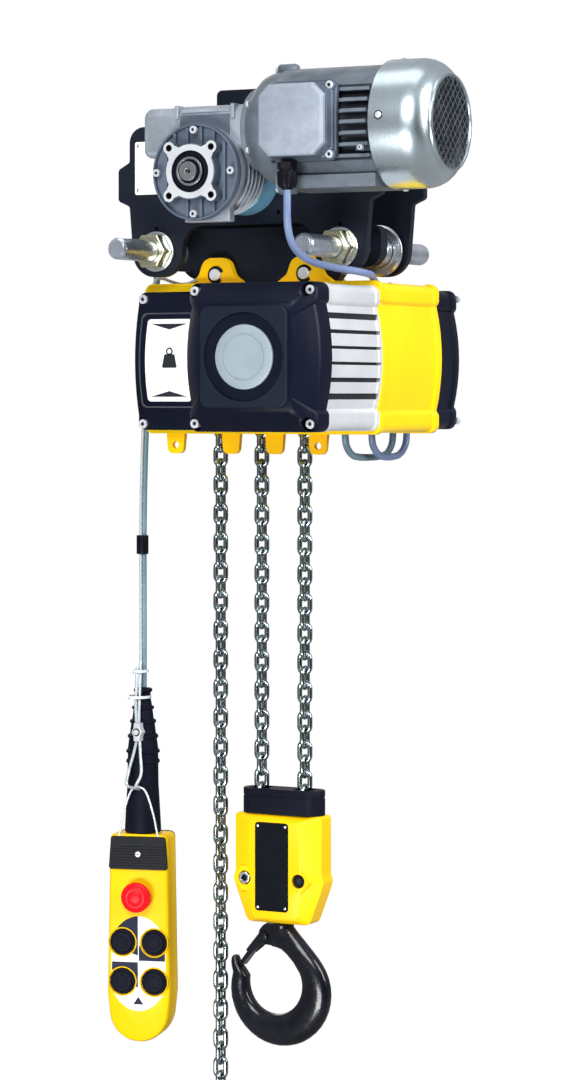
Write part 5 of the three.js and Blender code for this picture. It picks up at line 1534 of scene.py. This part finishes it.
def pendant_marks():
    """A light oval behind the buttons, with three dark fields, and a plain triangle below them."""
    holes = [lathe_of([(21.2, -40), (21.2, -20)], x, z, sides=64) for x, z in button_centres()]
    pendant_part("button_field", LABEL_WHITE, prism_of(oval_arc(0, 357, 119), -28.5, -27.6), bevel=0.05,
                 cut=holes)
    upper = oval_arc(91, 140) + [(-39, -1052), (-0.7, -1066)]
    band = [(0.7, -1052), (39, -1054), (39, -1073.2), (0.7, -1073.2)]
    lower = [(-39, -1075.5), (-0.7, -1075.5), (-0.7, -1112), (-39, -1087)]
    for name, shape in (("upper", upper), ("band", band), ("lower", lower)):
        pendant_part(f"dark_field_{name}", NAVY, prism_of(shape, -28.9, -28.3), bevel=0.05, cut=holes)
    triangle = [(-7.3, -1135.5), (7.3, -1135.5), (0, -1124.5)]
    pendant_part("plain_triangle", NAVY, prism_of(triangle, -28.9, -28.3), bevel=0.05)


def add_wire(name, points, radius=WIRE_D / 2, material=WIRE):
    """A short length of wire on the pendant through a few points, in metres."""
    attach(sweep_mesh(name, smooth_path(points), radius, material, 12), "pendant")


def wire_clamp(x, y, z):
    """The plate that grips the strain wire, with a screw in front."""
    right = [(4.5, 13), (5, 6), (8.5, 0), (5, -6), (4.5, -13)]
    outline = [(x + u, z + v) for u, v in mirrored(right)]
    part("wire_clamp", SCREW, "pendant", prism_of(outline, y - 7, y + 5), bevel=0.9)
    ring = [(5.6, y - 6.6), (5.6, y - 7.8), (4.4, y - 7.8), (4.4, y - 6.6)]
    part("wire_clamp_ring", BLACK_PLASTIC, "pendant", lathe_of(ring, x, z, sides=32), bevel=0.15)
    screw = [(3.9, y - 6.6), (3.9, y - 10), (3, y - 10.8), (0.01, y - 11)]
    part("wire_clamp_screw", SCREW, "pendant", lathe_of(screw, x, z, sides=32), bevel=0.2)


def cable_tie(z, half_u, half_v, v):
    """A clear tie round the cable and the wires, with its square head."""
    u = -221.5
    band = ring_of(ellipse(u, v, half_u, half_v), ellipse(u, v, half_u - 1, half_v - 1), z - 1.9, z + 1.9,
                   "Z")
    part(f"cable_tie_{round(-z)}", TIE_WHITE, "pendant", band, bevel=0.3)
    corner_u, corner_v = u - half_u * 0.72, v - half_v * 0.8
    head = box_of(corner_u - 5, corner_u + 1.5, corner_v - 3, corner_v + 2.5, z - 3.2, z + 3.2)
    part(f"cable_tie_head_{round(-z)}", TIE_WHITE, "pendant", head, bevel=0.7)


def pendant_rigging():
    """The clamp on the strain wire, its loop and bail, the second strand, the ties and the tape."""
    x, y, z = -215.5, 3, -747
    wire_clamp(x, y, z)
    for side, label in ((-1, "left"), (1, "right")):
        bail = [(side * 28.5, -28, -896), (side * 21.5, -29, -862), (side * 9, -29.5, -829),
                (0, -29.5, -824.5)]
        add_wire(f"bail_{label}", [PENDANT_TURN @ (Vector(p) * MM) for p in bail], 0.0015, SCREW)
        loop = [(x + side * 2.2, y - 1, z - 11), (x + side * 5.5, y - 5, -778),
                (x + side * 10.5, y - 12, -806), (x + side * 7.5, y - 21, -821)]
        crown = PENDANT_TURN @ Vector((0, -0.0265, -0.8285))
        add_wire(f"wire_loop_{label}", [Vector(p) * MM for p in loop] + [crown])
    tail = [(x - 3.6, y, z + 11), (x - 5.5, y + 1, -712), (x - 6.5, y + 4, -690), (x - 8, y + 9, -664),
            (x - 8.6, y + 11, -655)]
    add_wire("wire_tail", [Vector(p) * MM for p in tail])
    cable_tie(-661.4, 10.6, 12.6, 20)
    cable_tie(-698, 15.4, 19.5, 17.5)
    tape = [Vector((-0.222, 0.0255, z)) for z in (-0.467, -0.469, -0.492, -0.494)]
    piece = sweep_mesh("tape_wrap", tape, 0.0086, BLACK_PLASTIC, 24, [0.0082, 0.0086, 0.0086, 0.0082])
    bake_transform(piece)


def ellipse(cu, cv, half_u, half_v, steps=40):
    """A closed oval of points."""
    return [(cu + half_u * u, cv + half_v * v) for u, v in circle(0, 0, 1, steps)]


# ---------- the scene ----------
add_camera()
add_cords()
side_plates()
crossbars()
suspension()
wheels()
maker_plate()
gearbox()
travel_motor()
hoist_frame()
label_cover()
hoist_motor()
rear_cap()
chains()
bottom_block()
load_hook()
pendant_shell()
pendant_boot()
emergency_stop()
pendant_buttons()
pendant_marks()
pendant_rigging()
add_studio()
